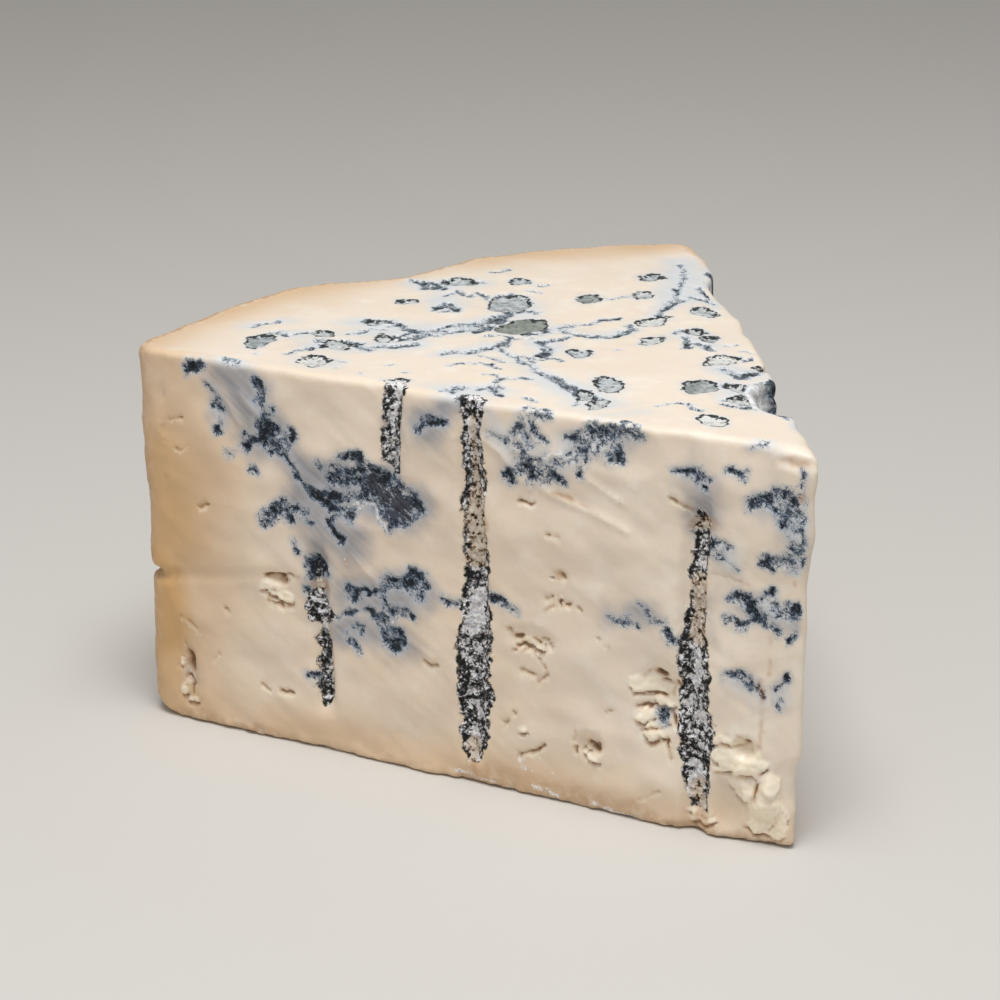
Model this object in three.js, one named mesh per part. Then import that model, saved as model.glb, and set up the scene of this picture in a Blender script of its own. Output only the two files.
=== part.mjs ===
import * as THREE from 'three';

// A wedge of blue-veined cheese. The wheel was halved level, and the lower half cut into wedges,
// so the wedge has a flat rind below, a rind wall at its back and three bare cuts: the level one
// on top and two upright ones that meet at the tip.
// Millimetres, +Z up. The front cut runs along X with the tip at +X, and the origin is on the
// ground under the middle of the wedge.

// Driving dimensions
const HEIGHT = 80;
const WHEEL_RADIUS = 152;
const WEDGE_ANGLE = THREE.MathUtils.degToRad(56.8);
const TIP_X = 76.2;
const TIP_Y = -62.2;

// Rounding of the edges: the run of each upright corner, and the radii of the level edges
const TIP_CORNER_RUN = 3.2;
const RIND_CORNER_RUN = 9;
const CUT_TOP_RADIUS = 1.2;
const CUT_FOOT_RADIUS = 1.6;
const TIP_TOP_RADIUS = 1.6;
const TIP_FOOT_RADIUS = 2;
const TIP_EDGE_REACH = 16;
const TIP_MITRE_REACH = 13;
const RIND_TOP_RADIUS = 2.8;
const RIND_FOOT_RADIUS = 8;

// The maker's needles pierce the wheel upright. The cuts open these channels along their length.
// run is the distance from the tip round the cuts, below zero on the front one and above it on the
// other one.
const CHANNEL_DEPTH = 1.8;
const CHANNEL_WANDER = 0.7;
const CHANNELS = [
  { run: -106, low: 9, high: 44, width: 5 },
  { run: -88.4, low: 61, high: 96, width: 4 },
  { run: -71.3, low: 5, high: 96, width: 6 },
  { run: -24.4, low: -16, high: 67, width: 6 },
  { run: 52, low: 22, high: 96, width: 5 },
  { run: 97, low: -16, high: 71, width: 6 },
];

// Hollows where the paste broke away or a mould pocket opened, and lumps, which have a depth
// below zero. reach is half the length along the cut and rise half the height.
const HOLLOWS = [
  { run: -116, z: 35.4, reach: 4.2, rise: 2.2, depth: 2.6 },
  { run: -96, z: 57, reach: 13, rise: 7, depth: 0.9 },
  { run: -58.5, z: 33.5, reach: 6, rise: 3, depth: 0.9 },
  { run: -46, z: 14, reach: 3.4, rise: 2.8, depth: 1.9 },
  { run: -40, z: 75, reach: 9, rise: 6, depth: 0.8 },
  { run: -30.5, z: 27, reach: 6, rise: 8, depth: 1.7 },
  { run: -17.6, z: 8.5, reach: 4, rise: 7, depth: 1.9 },
  { run: -14, z: 19.5, reach: 2.8, rise: 2.6, depth: 2.2 },
  { run: -9, z: 10, reach: 4.5, rise: 5, depth: -1.1 },
  { run: 0, z: 13.5, reach: 9, rise: 6, depth: 1.5 },
  { run: -2, z: 77, reach: 9, rise: 7, depth: -1 },
  { run: 19, z: 80, reach: 8, rise: 12, depth: 0.7 },
  { run: 64, z: 46, reach: 7, rise: 4, depth: 1.6 },
  { run: 83, z: 66, reach: 11, rise: 7, depth: 1 },
  { run: 105, z: 84, reach: 17, rise: 34, depth: 2.2 },
  { run: 112, z: 31, reach: 10, rise: 3, depth: 1.7 },
];

// A mould pocket burst open where the other upright cut meets the level one.
const POCKET = { run: 33.5, z: 80, reach: 10.5, rise: 13, depth: 6.5 };

// The tip is worn back, more so below its lip.
const TIP_WEAR = 0.75;
const TIP_LEAN = 0.6;
const TIP_FOOT_WEAR = 0.5;

// A level fissure runs in from the crease that goes round the rind wall.
const CREASE_Z = 31;
const CREASE_DEPTH = 2.6;
const FAINT_CREASE_DEPTH = 0.7;
const CREASE_HALF_WIDTH = 1.6;
const CREASE_WANDER = 1.6;
const FISSURE_START = -150;
const FISSURE_END = -110;
const FISSURE_CLIMB = 7;
const FISSURE_DEPTH = 1.7;

// The wheel is out of round towards the front cut, and has a dent at this turn from that cut.
const FLAT_SIDE_DEPTH = 2;
const FLAT_SIDE_REACH = 30;
const DENT_TURN = THREE.MathUtils.degToRad(30);
const DENT_REACH = 20;
const DENT_Z = 66;
const DENT_RISE = 48;
const DENT_DEPTH = 7;

// The rind wall bulges a little above and below the crease.
const UPPER_BELLY = 0.3;
const LOWER_BELLY = 1.3;

// Spacing of the facets
const COARSE_STEP = 3.7;
const FINE_STEP = 1.5;
const CORNER_STEPS = 5;
const RIND_STEP = 4.2;
const LEVEL_STEP = 3.9;
const CREASE_STEP = 1.5;
const EDGE_LEVELS = [0, 0.5, 1.6, 3.4, 6];
const TOP_RINGS = 13;

const RIGHT_WAY = new THREE.Vector2(-Math.cos(WEDGE_ANGLE), Math.sin(WEDGE_ANGLE));
const INWARD_AT_TIP = new THREE.Vector2(-Math.cos(WEDGE_ANGLE / 2), Math.sin(WEDGE_ANGLE / 2));
const TIP_MITRE = INWARD_AT_TIP.clone().divideScalar(Math.sin(WEDGE_ANGLE / 2));
const { clamp, lerp, smoothstep } = THREE.MathUtils;

// Soft unevenness between -1 and 1: crossed waves of unlike length, about size mm each.
function uneven(x, y, size) {
  const rate = (2 * Math.PI) / size;
  const first = Math.sin(rate * (x + 0.37 * y));
  const second = Math.sin(rate * 0.71 * (y - 0.53 * x) + 1.9);
  const third = Math.sin(rate * 1.37 * (0.8 * x + 0.6 * y) + 4.2);
  return (first + second + third) / 3;
}

// A round-bottomed dish: 1 in the middle, 0 from its rim outwards.
function dish(x, y, reach, rise) {
  return Math.max(0, 1 - (x / reach) ** 2 - (y / rise) ** 2);
}

function channelDepth(channel, run, z) {
  const middle = channel.run + CHANNEL_WANDER * Math.sin(z / 11 + channel.run);
  const opens = smoothstep(z, channel.low - 2, channel.low + 3);
  const closes = 1 - smoothstep(z, channel.high - 3, channel.high + 2);
  return CHANNEL_DEPTH * dish(run - middle, 0, channel.width / 2, 1) * opens * closes;
}

function fissureDepth(run, z) {
  const along = clamp((run - FISSURE_START) / (FISSURE_END - FISSURE_START), 0, 1);
  const level = CREASE_Z + FISSURE_CLIMB * along ** 1.3;
  const fade = 1 - smoothstep(along, 0.75, 1);
  return FISSURE_DEPTH * dish(z - level, 0, CREASE_HALF_WIDTH, 1) * fade;
}

// How deep the two upright cuts lie inside their true planes.
function cutRelief(run, z) {
  let depth = 0.35 * uneven(run, z, 34) + 0.2 * uneven(run, z, 13);
  for (const channel of CHANNELS) {
    depth += channelDepth(channel, run, z);
  }
  for (const hollow of HOLLOWS) {
    depth += hollow.depth * dish(run - hollow.run, z - hollow.z, hollow.reach, hollow.rise);
  }
  const pocket = dish(run - POCKET.run, z - POCKET.z, POCKET.reach, POCKET.rise);
  return depth + POCKET.depth * Math.sqrt(pocket) + fissureDepth(run, z);
}

// How far wear has drawn both cuts in towards the tip.
function tipWear(run, z) {
  const lean = TIP_LEAN * smoothstep(HEIGHT - z, 14, 36);
  const footWear = TIP_FOOT_WEAR * (1 - smoothstep(z, 0, 18));
  return (TIP_WEAR + lean + footWear) * (1 - smoothstep(Math.abs(run), 2, 23));
}

function rimRadius(turn) {
  const around = turn * WHEEL_RADIUS;
  return WHEEL_RADIUS - FLAT_SIDE_DEPTH * (1 - smoothstep(around, 0, FLAT_SIDE_REACH));
}

// How deep the rind wall lies inside the rim's outline. Two low bellies meet at the crease,
// which is deep beside the fissure and faint further round.
function rindRelief(turn, z) {
  const around = turn * WHEEL_RADIUS;
  const dentMiddle = around - DENT_TURN * WHEEL_RADIUS;
  const creaseZ = CREASE_Z + CREASE_WANDER * Math.sin(around / 23);
  const crease = dish(z - creaseZ, 0, CREASE_HALF_WIDTH, 1);
  const creaseDepth = lerp(CREASE_DEPTH, FAINT_CREASE_DEPTH, smoothstep(around, 6, 32));
  let depth = 0.8 * uneven(around, z, 52) + 0.45 * uneven(around, z, 17);
  depth += DENT_DEPTH * dish(dentMiddle, z - DENT_Z, DENT_REACH, DENT_RISE);
  depth += creaseDepth * crease;
  const belly = z < CREASE_Z ? LOWER_BELLY : UPPER_BELLY;
  return depth - belly * Math.abs(Math.sin((Math.PI * (z - CREASE_Z)) / HEIGHT));
}

// Height of the level cut over its true plane.
function topRelief(x, y) {
  return 0.35 * uneven(x, y, 47) + 0.15 * uneven(x, y, 19);
}

// Places from one end of a cut to the other, closer together at the channels and at the pocket.
function stations(from, to) {
  const found = [from];
  let at = from;
  while (at < to - COARSE_STEP / 2) {
    const channel = CHANNELS.some(({ run, width }) => at > run - width && at < run + width / 2 + 1);
    const pocket = Math.abs(at - POCKET.run) < POCKET.reach + 2;
    at += channel || pocket ? FINE_STEP : COARSE_STEP;
    found.push(Math.min(at, to));
  }
  return found;
}

// The upright columns of the wall, counter-clockwise: front cut, tip, other cut and rind.
// rind goes from 0 on a cut to 1 on the rind wall, across the rounded corner between them.
function wallColumns() {
  const columns = [];
  const place = (point, outward, run, turn, rind) => {
    columns.push({ point, outward, run, turn, rind });
  };
  const corner = (start, apex, end, describe) => {
    const curve = new THREE.QuadraticBezierCurve(start, apex, end);
    for (let step = 1; step < CORNER_STEPS; step += 1) {
      const part = step / CORNER_STEPS;
      const way = curve.getTangent(part);
      place(curve.getPoint(part), new THREE.Vector2(way.y, -way.x), ...describe(part));
    }
  };
  const onFront = (run) => new THREE.Vector2(run, 0);
  const onRight = (run) => RIGHT_WAY.clone().multiplyScalar(run);
  const onRind = (turn) => new THREE.Vector2(-Math.cos(turn), Math.sin(turn))
    .multiplyScalar(rimRadius(turn));
  const frontOut = new THREE.Vector2(0, -1);
  const rightOut = new THREE.Vector2(RIGHT_WAY.y, -RIGHT_WAY.x);
  const frontEnd = rimRadius(0) - RIND_CORNER_RUN;
  const rightEnd = WHEEL_RADIUS - RIND_CORNER_RUN;
  const cornerTurn = RIND_CORNER_RUN / WHEEL_RADIUS;
  const farTurn = WEDGE_ANGLE - cornerTurn;

  for (const run of stations(-frontEnd, -TIP_CORNER_RUN)) {
    place(onFront(run), frontOut, run, 0, 0);
  }
  corner(onFront(-TIP_CORNER_RUN), new THREE.Vector2(), onRight(TIP_CORNER_RUN), (part) => [
    lerp(-TIP_CORNER_RUN, TIP_CORNER_RUN, part), 0, 0,
  ]);
  for (const run of stations(TIP_CORNER_RUN, rightEnd)) {
    place(onRight(run), rightOut, run, WEDGE_ANGLE, 0);
  }
  corner(onRight(rightEnd), onRight(WHEEL_RADIUS), onRind(farTurn), (part) => [
    lerp(rightEnd, WHEEL_RADIUS, part), lerp(WEDGE_ANGLE, farTurn, part), part,
  ]);
  const rindSteps = Math.round(((farTurn - cornerTurn) * WHEEL_RADIUS) / RIND_STEP);
  for (let step = 0; step <= rindSteps; step += 1) {
    const turn = lerp(farTurn, cornerTurn, step / rindSteps);
    place(onRind(turn), onRind(turn).normalize(), 0, turn, 1);
  }
  corner(onRind(cornerTurn), onFront(-rimRadius(0)), onFront(-frontEnd), (part) => [
    lerp(-rimRadius(0), -frontEnd, part), lerp(cornerTurn, 0, part), 1 - part,
  ]);
  return columns;
}

// Heights of the rows of the wall, closer together at the edges and at the crease.
function wallLevels() {
  const levels = [...EDGE_LEVELS];
  const topLevels = EDGE_LEVELS.map((level) => HEIGHT - level).reverse();
  let level = EDGE_LEVELS.at(-1);
  while (level < topLevels[0] - 1.5 * LEVEL_STEP) {
    const fine = level > CREASE_Z - 4 && level < CREASE_Z + FISSURE_CLIMB + 1;
    level += fine ? CREASE_STEP : LEVEL_STEP;
    levels.push(level);
  }
  return [...levels, ...topLevels];
}

// How far a quarter-round edge draws the outline in, at a distance from the level face.
function roundingInset(radius, distance) {
  const left = Math.max(0, radius - distance);
  return radius - Math.sqrt(radius * radius - left * left);
}

function wallPoint(column, z) {
  const { point, outward, run, turn, rind } = column;
  const tipShare = (1 - rind) * (1 - smoothstep(Math.abs(run), 0, TIP_EDGE_REACH));
  const footRadius = lerp(lerp(CUT_FOOT_RADIUS, TIP_FOOT_RADIUS, tipShare), RIND_FOOT_RADIUS, rind);
  const topRadius = lerp(lerp(CUT_TOP_RADIUS, TIP_TOP_RADIUS, tipShare), RIND_TOP_RADIUS, rind);
  const rounding = roundingInset(footRadius, z) + roundingInset(topRadius, HEIGHT - z);
  const inset = rounding + (1 - rind) * tipWear(run, z);
  const depth = lerp(cutRelief(run, z), rindRelief(turn, z), rind);

  // Near the tip an inset shortens the wedge, and relief points back along it.
  const atTip = rind === 0 ? 1 - smoothstep(Math.abs(run), 1, TIP_MITRE_REACH) : 0;
  const insetWay = outward.clone().negate().lerp(TIP_MITRE, atTip);
  const reliefWay = outward.clone().negate().lerp(INWARD_AT_TIP, atTip);
  const spot = point.clone().addScaledVector(insetWay, inset).addScaledVector(reliefWay, depth);
  const lift = topRelief(spot.x, spot.y) * smoothstep(z, HEIGHT - 12, HEIGHT);
  return new THREE.Vector3(spot.x, spot.y, z + lift);
}

// Joins two closed rings of points with triangles. Both start at the same side of the body.
function joinRings(faces, outer, inner) {
  let a = 0;
  let b = 0;
  while (a < outer.length || b < inner.length) {
    const outerNow = outer[a % outer.length];
    const innerNow = inner[b % inner.length];
    if (b === inner.length || (a < outer.length && (a + 1) / outer.length <= (b + 1) / inner.length)) {
      a += 1;
      faces.push(outerNow, outer[a % outer.length], innerNow);
    } else {
      b += 1;
      faces.push(outerNow, inner[b % inner.length], innerNow);
    }
  }
}

function wedgeGeometry() {
  const columns = wallColumns();
  const levels = wallLevels();
  const points = [];
  const faces = [];
  const count = columns.length;

  for (const level of levels) {
    for (const column of columns) {
      points.push(wallPoint(column, level));
    }
  }
  for (let row = 0; row + 1 < levels.length; row += 1) {
    for (let side = 0; side < count; side += 1) {
      const next = (side + 1) % count;
      const low = row * count;
      const high = low + count;
      faces.push(low + side, low + next, high + next);
      faces.push(low + side, high + next, high + side);
    }
  }

  // The level cut: rings that shrink towards the middle of the widest circle in the outline
  const topStart = (levels.length - 1) * count;
  const rim = points.slice(topStart);
  const half = Math.sin(WEDGE_ANGLE / 2);
  const middleDistance = WHEEL_RADIUS / (1 + half);
  const middle = INWARD_AT_TIP.clone().multiplyScalar(middleDistance);
  let outer = rim.map((_, index) => topStart + index);
  for (let ring = 1; ring < TOP_RINGS; ring += 1) {
    const share = 1 - ring / TOP_RINGS;
    const ringCount = Math.max(8, Math.round(count * share));
    const inner = [];
    for (let step = 0; step < ringCount; step += 1) {
      const at = (step / ringCount) * count;
      const first = rim[Math.floor(at)];
      const second = rim[(Math.floor(at) + 1) % count];
      const x = lerp(middle.x, lerp(first.x, second.x, at % 1), share);
      const y = lerp(middle.y, lerp(first.y, second.y, at % 1), share);
      inner.push(points.length);
      points.push(new THREE.Vector3(x, y, HEIGHT + topRelief(x, y)));
    }
    joinRings(faces, outer, inner);
    outer = inner;
  }
  const summit = points.length;
  points.push(new THREE.Vector3(middle.x, middle.y, HEIGHT + topRelief(middle.x, middle.y)));
  outer.forEach((point, index) => faces.push(point, outer[(index + 1) % outer.length], summit));

  // The flat rind that the wedge stands on
  const foot = points.slice(0, count).map(({ x, y }) => new THREE.Vector2(x, y));
  for (const [a, b, c] of THREE.ShapeUtils.triangulateShape(foot, [])) {
    faces.push(a, c, b);
  }

  const geometry = new THREE.BufferGeometry().setFromPoints(points);
  geometry.setIndex(faces);
  geometry.computeVertexNormals();
  return geometry;
}

const paste = new THREE.MeshStandardMaterial({ color: 0xe6d8c2, roughness: 0.5, metalness: 0 });

const wedge = new THREE.Mesh(wedgeGeometry(), paste);
wedge.name = 'cheese_wedge';
wedge.position.set(TIP_X, TIP_Y, 0);

const cheese = new THREE.Group();
cheese.add(wedge);

export default cheese;
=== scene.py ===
import math

import bpy
import numpy as np
from mathutils import Matrix, Vector
from mathutils.geometry import delaunay_2d_cdt


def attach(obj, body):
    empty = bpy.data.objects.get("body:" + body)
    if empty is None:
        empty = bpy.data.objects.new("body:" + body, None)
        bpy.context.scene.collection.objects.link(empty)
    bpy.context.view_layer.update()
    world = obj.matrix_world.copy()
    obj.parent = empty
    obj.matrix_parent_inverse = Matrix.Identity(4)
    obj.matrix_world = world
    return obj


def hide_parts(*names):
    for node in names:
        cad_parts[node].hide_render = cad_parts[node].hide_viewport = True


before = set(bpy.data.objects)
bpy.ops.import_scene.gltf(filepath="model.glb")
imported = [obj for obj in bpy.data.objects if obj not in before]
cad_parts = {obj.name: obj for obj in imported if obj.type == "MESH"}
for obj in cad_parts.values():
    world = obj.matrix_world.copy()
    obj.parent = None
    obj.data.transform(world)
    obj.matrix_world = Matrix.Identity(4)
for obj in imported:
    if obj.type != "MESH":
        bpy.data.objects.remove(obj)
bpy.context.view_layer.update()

# The wedge: one piece of firm blue-veined cheese, from the lower half of a wheel halved level.
# Three faces are bare cuts of the paste, and the back wall and the underside are its dry rind.
# Places are in millimetres from the tip, with the front cut along X and the body at -X and +Y.
HEIGHT = 80.0
WHEEL_RADIUS = 152.0
WEDGE_ANGLE = math.radians(56.8)
TIP_X = 76.2
TIP_Y = -62.2
TIP_CORNER_RUN = 3.2
RIND_CORNER_RUN = 9.0
FLAT_SIDE_DEPTH = 2.0
FLAT_SIDE_REACH = 30.0

RIGHT_WAY = np.array([-math.cos(WEDGE_ANGLE), math.sin(WEDGE_ANGLE)])
INWARD_AT_TIP = np.array([-math.cos(WEDGE_ANGLE / 2), math.sin(WEDGE_ANGLE / 2)])
TIP_MITRE = INWARD_AT_TIP / math.sin(WEDGE_ANGLE / 2)


# From 0 at low to 1 at high, with no kink at either.
def smoothstep(x, low, high):
    share = np.clip((x - low) / (high - low), 0.0, 1.0)
    return share * share * (3.0 - 2.0 * share)


def lerp(a, b, share):
    return a + (b - a) * share


# A round-bottomed dish: 1 in the middle, 0 from its rim outwards.
def dish(x, y, reach, rise):
    return np.maximum(0.0, 1.0 - (x / reach) ** 2 - (y / rise) ** 2)


# Soft unevenness between -1 and 1: crossed waves of unlike length, about size mm each.
def uneven(x, y, size):
    rate = 2.0 * math.pi / size
    first = np.sin(rate * (x + 0.37 * y))
    second = np.sin(rate * 0.71 * (y - 0.53 * x) + 1.9)
    third = np.sin(rate * 1.37 * (0.8 * x + 0.6 * y) + 4.2)
    return (first + second + third) / 3.0


# Blotches between -1 and 1, about size mm across, from a seeded square of random heights.
BLOTCHES = np.random.default_rng(7).uniform(-1.0, 1.0, (256, 256))


def mottle(x, y, size, layer):
    across = x / size + 31.7 * layer
    up = y / size + 11.3 * layer
    column = np.floor(across).astype(int)
    row = np.floor(up).astype(int)
    right = smoothstep(across - column, 0.0, 1.0)
    over = smoothstep(up - row, 0.0, 1.0)
    low = lerp(BLOTCHES[row & 255, column & 255], BLOTCHES[row & 255, (column + 1) & 255], right)
    row = row + 1
    high = lerp(BLOTCHES[row & 255, column & 255], BLOTCHES[row & 255, (column + 1) & 255], right)
    return lerp(low, high, over)


# A distance beyond the reach of every mark.
FAR = 9.0


# Broken lumps about size mm across: how far each place lies from the crevice round its lump,
# from 0 in the crevice to about 1 in the middle, and the lump's own random height.
def lumps(x, y, size, layer):
    column = np.floor(x / size)
    row = np.floor(y / size)
    nearest = np.full(x.shape, FAR)
    second = np.full(x.shape, FAR)
    height = np.zeros(x.shape)
    for step_x in (-1, 0, 1):
        for step_y in (-1, 0, 1):
            i = (column + step_x).astype(int) + 37 * layer
            j = (row + step_y).astype(int)
            centre_x = column + step_x + 0.5 + 0.42 * BLOTCHES[i & 255, j & 255]
            centre_y = row + step_y + 0.5 + 0.42 * BLOTCHES[j & 255, (i + 91) & 255]
            distance = np.hypot(x / size - centre_x, y / size - centre_y)
            closer = distance < nearest
            second = np.where(closer, nearest, np.minimum(second, distance))
            height = np.where(closer, BLOTCHES[(i + 53) & 255, j & 255], height)
            nearest = np.where(closer, distance, nearest)
    return np.minimum(1.0, 1.6 * (second - nearest)), height


# How many millimetres each place lies inside the widest of the strokes, below zero outside.
# A stroke is a half width and the places that it runs through.
def inside_strokes(x, y, strokes):
    inside = np.full(x.shape, -FAR)
    for half_width, places in strokes:
        for (ax, ay), (bx, by) in zip(places, places[1:]):
            way_x = bx - ax
            way_y = by - ay
            along = ((x - ax) * way_x + (y - ay) * way_y) / (way_x * way_x + way_y * way_y)
            along = np.clip(along, 0.0, 1.0)
            distance = np.hypot(x - ax - along * way_x, y - ay - along * way_y)
            inside = np.maximum(inside, half_width - distance)
    return inside


# The wheel's radius at each turn from the front cut. One side of the wheel is a little flat.
def rim_radius(turn):
    around = turn * WHEEL_RADIUS
    return WHEEL_RADIUS - FLAT_SIDE_DEPTH * (1.0 - smoothstep(around, 0.0, FLAT_SIDE_REACH))


CORNER_TURN = RIND_CORNER_RUN / WHEEL_RADIUS
CORNER_LENGTH = 14.6
FRONT_RADIUS = float(rim_radius(np.float64(0.0)))
FRONT_END = FRONT_RADIUS - RIND_CORNER_RUN
RIGHT_END = WHEEL_RADIUS - RIND_CORNER_RUN
RIND_START = RIGHT_END + CORNER_LENGTH
RIND_STOP = RIND_START + (WEDGE_ANGLE - 2.0 * CORNER_TURN) * WHEEL_RADIUS
OUTLINE_END = RIND_STOP + CORNER_LENGTH


# Places on a rounded corner that runs from start to end and bends towards its apex, and the
# outward way at each.
def bend(start, apex, end, share):
    share = share[:, None]
    place = (1 - share) ** 2 * start + 2 * share * (1 - share) * apex + share ** 2 * end
    way = (1 - share) * (apex - start) + share * (end - apex)
    way = way / np.linalg.norm(way, axis=1)[:, None]
    return place, np.column_stack([way[:, 1], -way[:, 0]])


# Places on the two cuts by their run, and on the rind wall by their turn.
def on_front(run):
    return np.column_stack([run, np.zeros_like(run)])


def on_right(run):
    return run[:, None] * RIGHT_WAY


def on_rind(turn):
    return rim_radius(turn)[:, None] * np.column_stack([-np.cos(turn), np.sin(turn)])


# The outline, followed counter-clockwise by the distance s: below zero on the front cut, above
# zero on the other cut, then the rind wall. On the cuts s is the run from the tip.
def outline(s):
    one = np.ones(1)
    place = on_front(s)
    outward = np.tile([0.0, -1.0], (len(s), 1))
    run = s.copy()
    turn = np.zeros_like(s)
    rind = np.zeros_like(s)

    tip = np.abs(s) < TIP_CORNER_RUN
    share = (s[tip] + TIP_CORNER_RUN) / (2 * TIP_CORNER_RUN)
    place[tip], outward[tip] = bend(
        on_front(-TIP_CORNER_RUN * one), np.zeros((1, 2)), on_right(TIP_CORNER_RUN * one), share)

    right = (s >= TIP_CORNER_RUN) & (s <= RIGHT_END)
    place[right] = on_right(s[right])
    outward[right] = [RIGHT_WAY[1], -RIGHT_WAY[0]]
    turn[right] = WEDGE_ANGLE

    far_turn = WEDGE_ANGLE - CORNER_TURN
    corner = (s > RIGHT_END) & (s < RIND_START)
    share = (s[corner] - RIGHT_END) / CORNER_LENGTH
    place[corner], outward[corner] = bend(
        on_right(RIGHT_END * one), on_right(WHEEL_RADIUS * one), on_rind(far_turn * one), share)
    run[corner] = lerp(RIGHT_END, WHEEL_RADIUS, share)
    turn[corner] = lerp(WEDGE_ANGLE, far_turn, share)
    rind[corner] = share

    wall = (s >= RIND_START) & (s <= RIND_STOP)
    turn[wall] = far_turn - (s[wall] - RIND_START) / WHEEL_RADIUS
    place[wall] = on_rind(turn[wall])
    outward[wall] = place[wall] / np.linalg.norm(place[wall], axis=1)[:, None]
    run[wall] = 0.0
    rind[wall] = 1.0

    corner = s > RIND_STOP
    share = (s[corner] - RIND_STOP) / CORNER_LENGTH
    place[corner], outward[corner] = bend(
        on_rind(CORNER_TURN * one), on_front(-FRONT_RADIUS * one), on_front(-FRONT_END * one), share)
    run[corner] = lerp(-FRONT_RADIUS, -FRONT_END, share)
    turn[corner] = lerp(CORNER_TURN, 0.0, share)
    rind[corner] = 1.0 - share
    return place, outward, run, turn, rind


# The maker's needles pierce the wheel upright, and blue mould grows along them. The cuts open
# these channels along their length. Each row: run, lowest and highest place, and width.
CHANNELS = [
    (-106.0, 9.0, 44.0, 5.0),
    (-88.4, 61.0, 96.0, 4.0),
    (-71.3, 5.0, 96.0, 6.0),
    (-24.4, -16.0, 67.0, 6.0),
    (52.0, 22.0, 96.0, 5.0),
    (97.0, -16.0, 71.0, 6.0),
]
CHANNEL_DEPTH = 1.8
CHANNEL_WANDER = 0.7

# Hollows where the paste broke away or a pocket opened, and lumps, which have a depth below
# zero. Each row: run, z, half the length, half the height, and depth.
HOLLOWS = [
    (-116.0, 35.6, 3.2, 1.5, 1.6),
    (-138.3, 12.0, 1.6, 5.0, 1.1),
    (-96.0, 57.0, 13.0, 7.0, 0.9),
    (-58.5, 33.5, 6.0, 3.0, 0.9),
    (-46.0, 14.0, 3.4, 2.8, 1.9),
    (-40.0, 75.0, 9.0, 6.0, 0.8),
    (-30.5, 27.0, 6.0, 8.0, 1.7),
    (-17.4, 8.5, 3.6, 7.0, 2.3),
    (-14.0, 19.5, 2.8, 2.6, 2.2),
    (-9.0, 10.0, 4.5, 5.0, -1.1),
    (0.0, 13.5, 9.0, 6.0, 1.5),
    (-2.0, 77.0, 9.0, 7.0, -1.0),
    (-3.6, 77.3, 5.5, 1.4, 1.2),
    (19.0, 80.0, 8.0, 12.0, 0.7),
    (64.0, 46.0, 7.0, 4.0, 1.6),
    (83.0, 66.0, 11.0, 7.0, 1.0),
    (105.0, 84.0, 17.0, 34.0, 2.2),
    (112.0, 31.0, 10.0, 3.0, 1.7),
]
POCKET_RUN = 33.5
POCKET_REACH = 10.5
POCKET_RISE = 13.0
POCKET_DEPTH = 6.5

# A level crease goes round the rind wall, and a fissure runs in from it on the front cut.
CREASE_Z = 31.0
CREASE_HALF_WIDTH = 1.6
FISSURE_START = -150.0
FISSURE_END = -110.0
FISSURE_CLIMB = 7.0
FISSURE_DEPTH = 1.7


# What the eye sees of each channel, narrower than its groove in places: rows of z, left edge and
# right edge, from the top down. The two on the hidden cut are plain.
TRACKS = [
    [(81.4, -90.0, -85.2), (78.6, -90.4, -85.9), (75.4, -90.8, -86.6), (71.0, -90.8, -86.7),
     (67.6, -91.1, -86.8), (64.8, -90.3, -87.3), (62.0, -88.9, -87.8)],
    [(82.3, -72.5, -68.3), (80.0, -74.0, -67.9), (74.0, -73.6, -68.8), (59.9, -73.6, -68.3),
     (47.7, -73.5, -67.8), (41.4, -73.8, -68.1), (34.8, -74.2, -66.9), (27.7, -75.2, -67.6),
     (20.4, -74.9, -67.1), (10.7, -74.6, -67.8), (6.9, -73.9, -69.2), (4.5, -72.8, -70.6)],
    [(41.8, -107.8, -106.9), (39.2, -108.2, -106.1), (37.0, -108.0, -106.8), (35.5, -107.6, -105.0),
     (33.6, -108.9, -106.0), (31.6, -109.7, -103.5), (30.0, -109.7, -102.4), (28.2, -108.8, -103.9),
     (26.9, -107.0, -105.6), (24.4, -107.6, -104.3), (11.7, -107.1, -103.8), (9.5, -106.2, -105.0)],
    [(65.7, -25.0, -24.2), (63.4, -25.1, -21.5), (55.9, -25.8, -21.8), (48.2, -26.1, -22.7),
     (41.8, -27.2, -22.3), (35.7, -27.9, -21.4), (29.7, -27.8, -20.9), (21.0, -27.9, -19.7),
     (15.4, -27.2, -20.6), (9.2, -26.3, -20.9), (4.6, -25.4, -21.4)],
    [(81.0, 49.5, 54.5), (58.0, 50.2, 54.3), (40.0, 49.8, 54.6), (24.0, 50.8, 53.2)],
    [(70.0, 95.6, 98.4), (52.0, 94.8, 99.4), (30.0, 94.4, 99.8), (8.0, 95.4, 99.0)],
]


# How many millimetres each place lies inside a track, below zero outside.
def inside_tracks(run, z, ragged):
    inside = np.full(run.shape, -FAR)
    for rows in TRACKS:
        levels, lefts, rights = np.array(rows)[::-1].T
        across = np.minimum(run - np.interp(z, levels, lefts), np.interp(z, levels, rights) - run)
        ends = np.minimum(z - levels[0], levels[-1] - z)
        inside = np.maximum(inside, np.minimum(across, ends) + ragged)
    return inside


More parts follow.
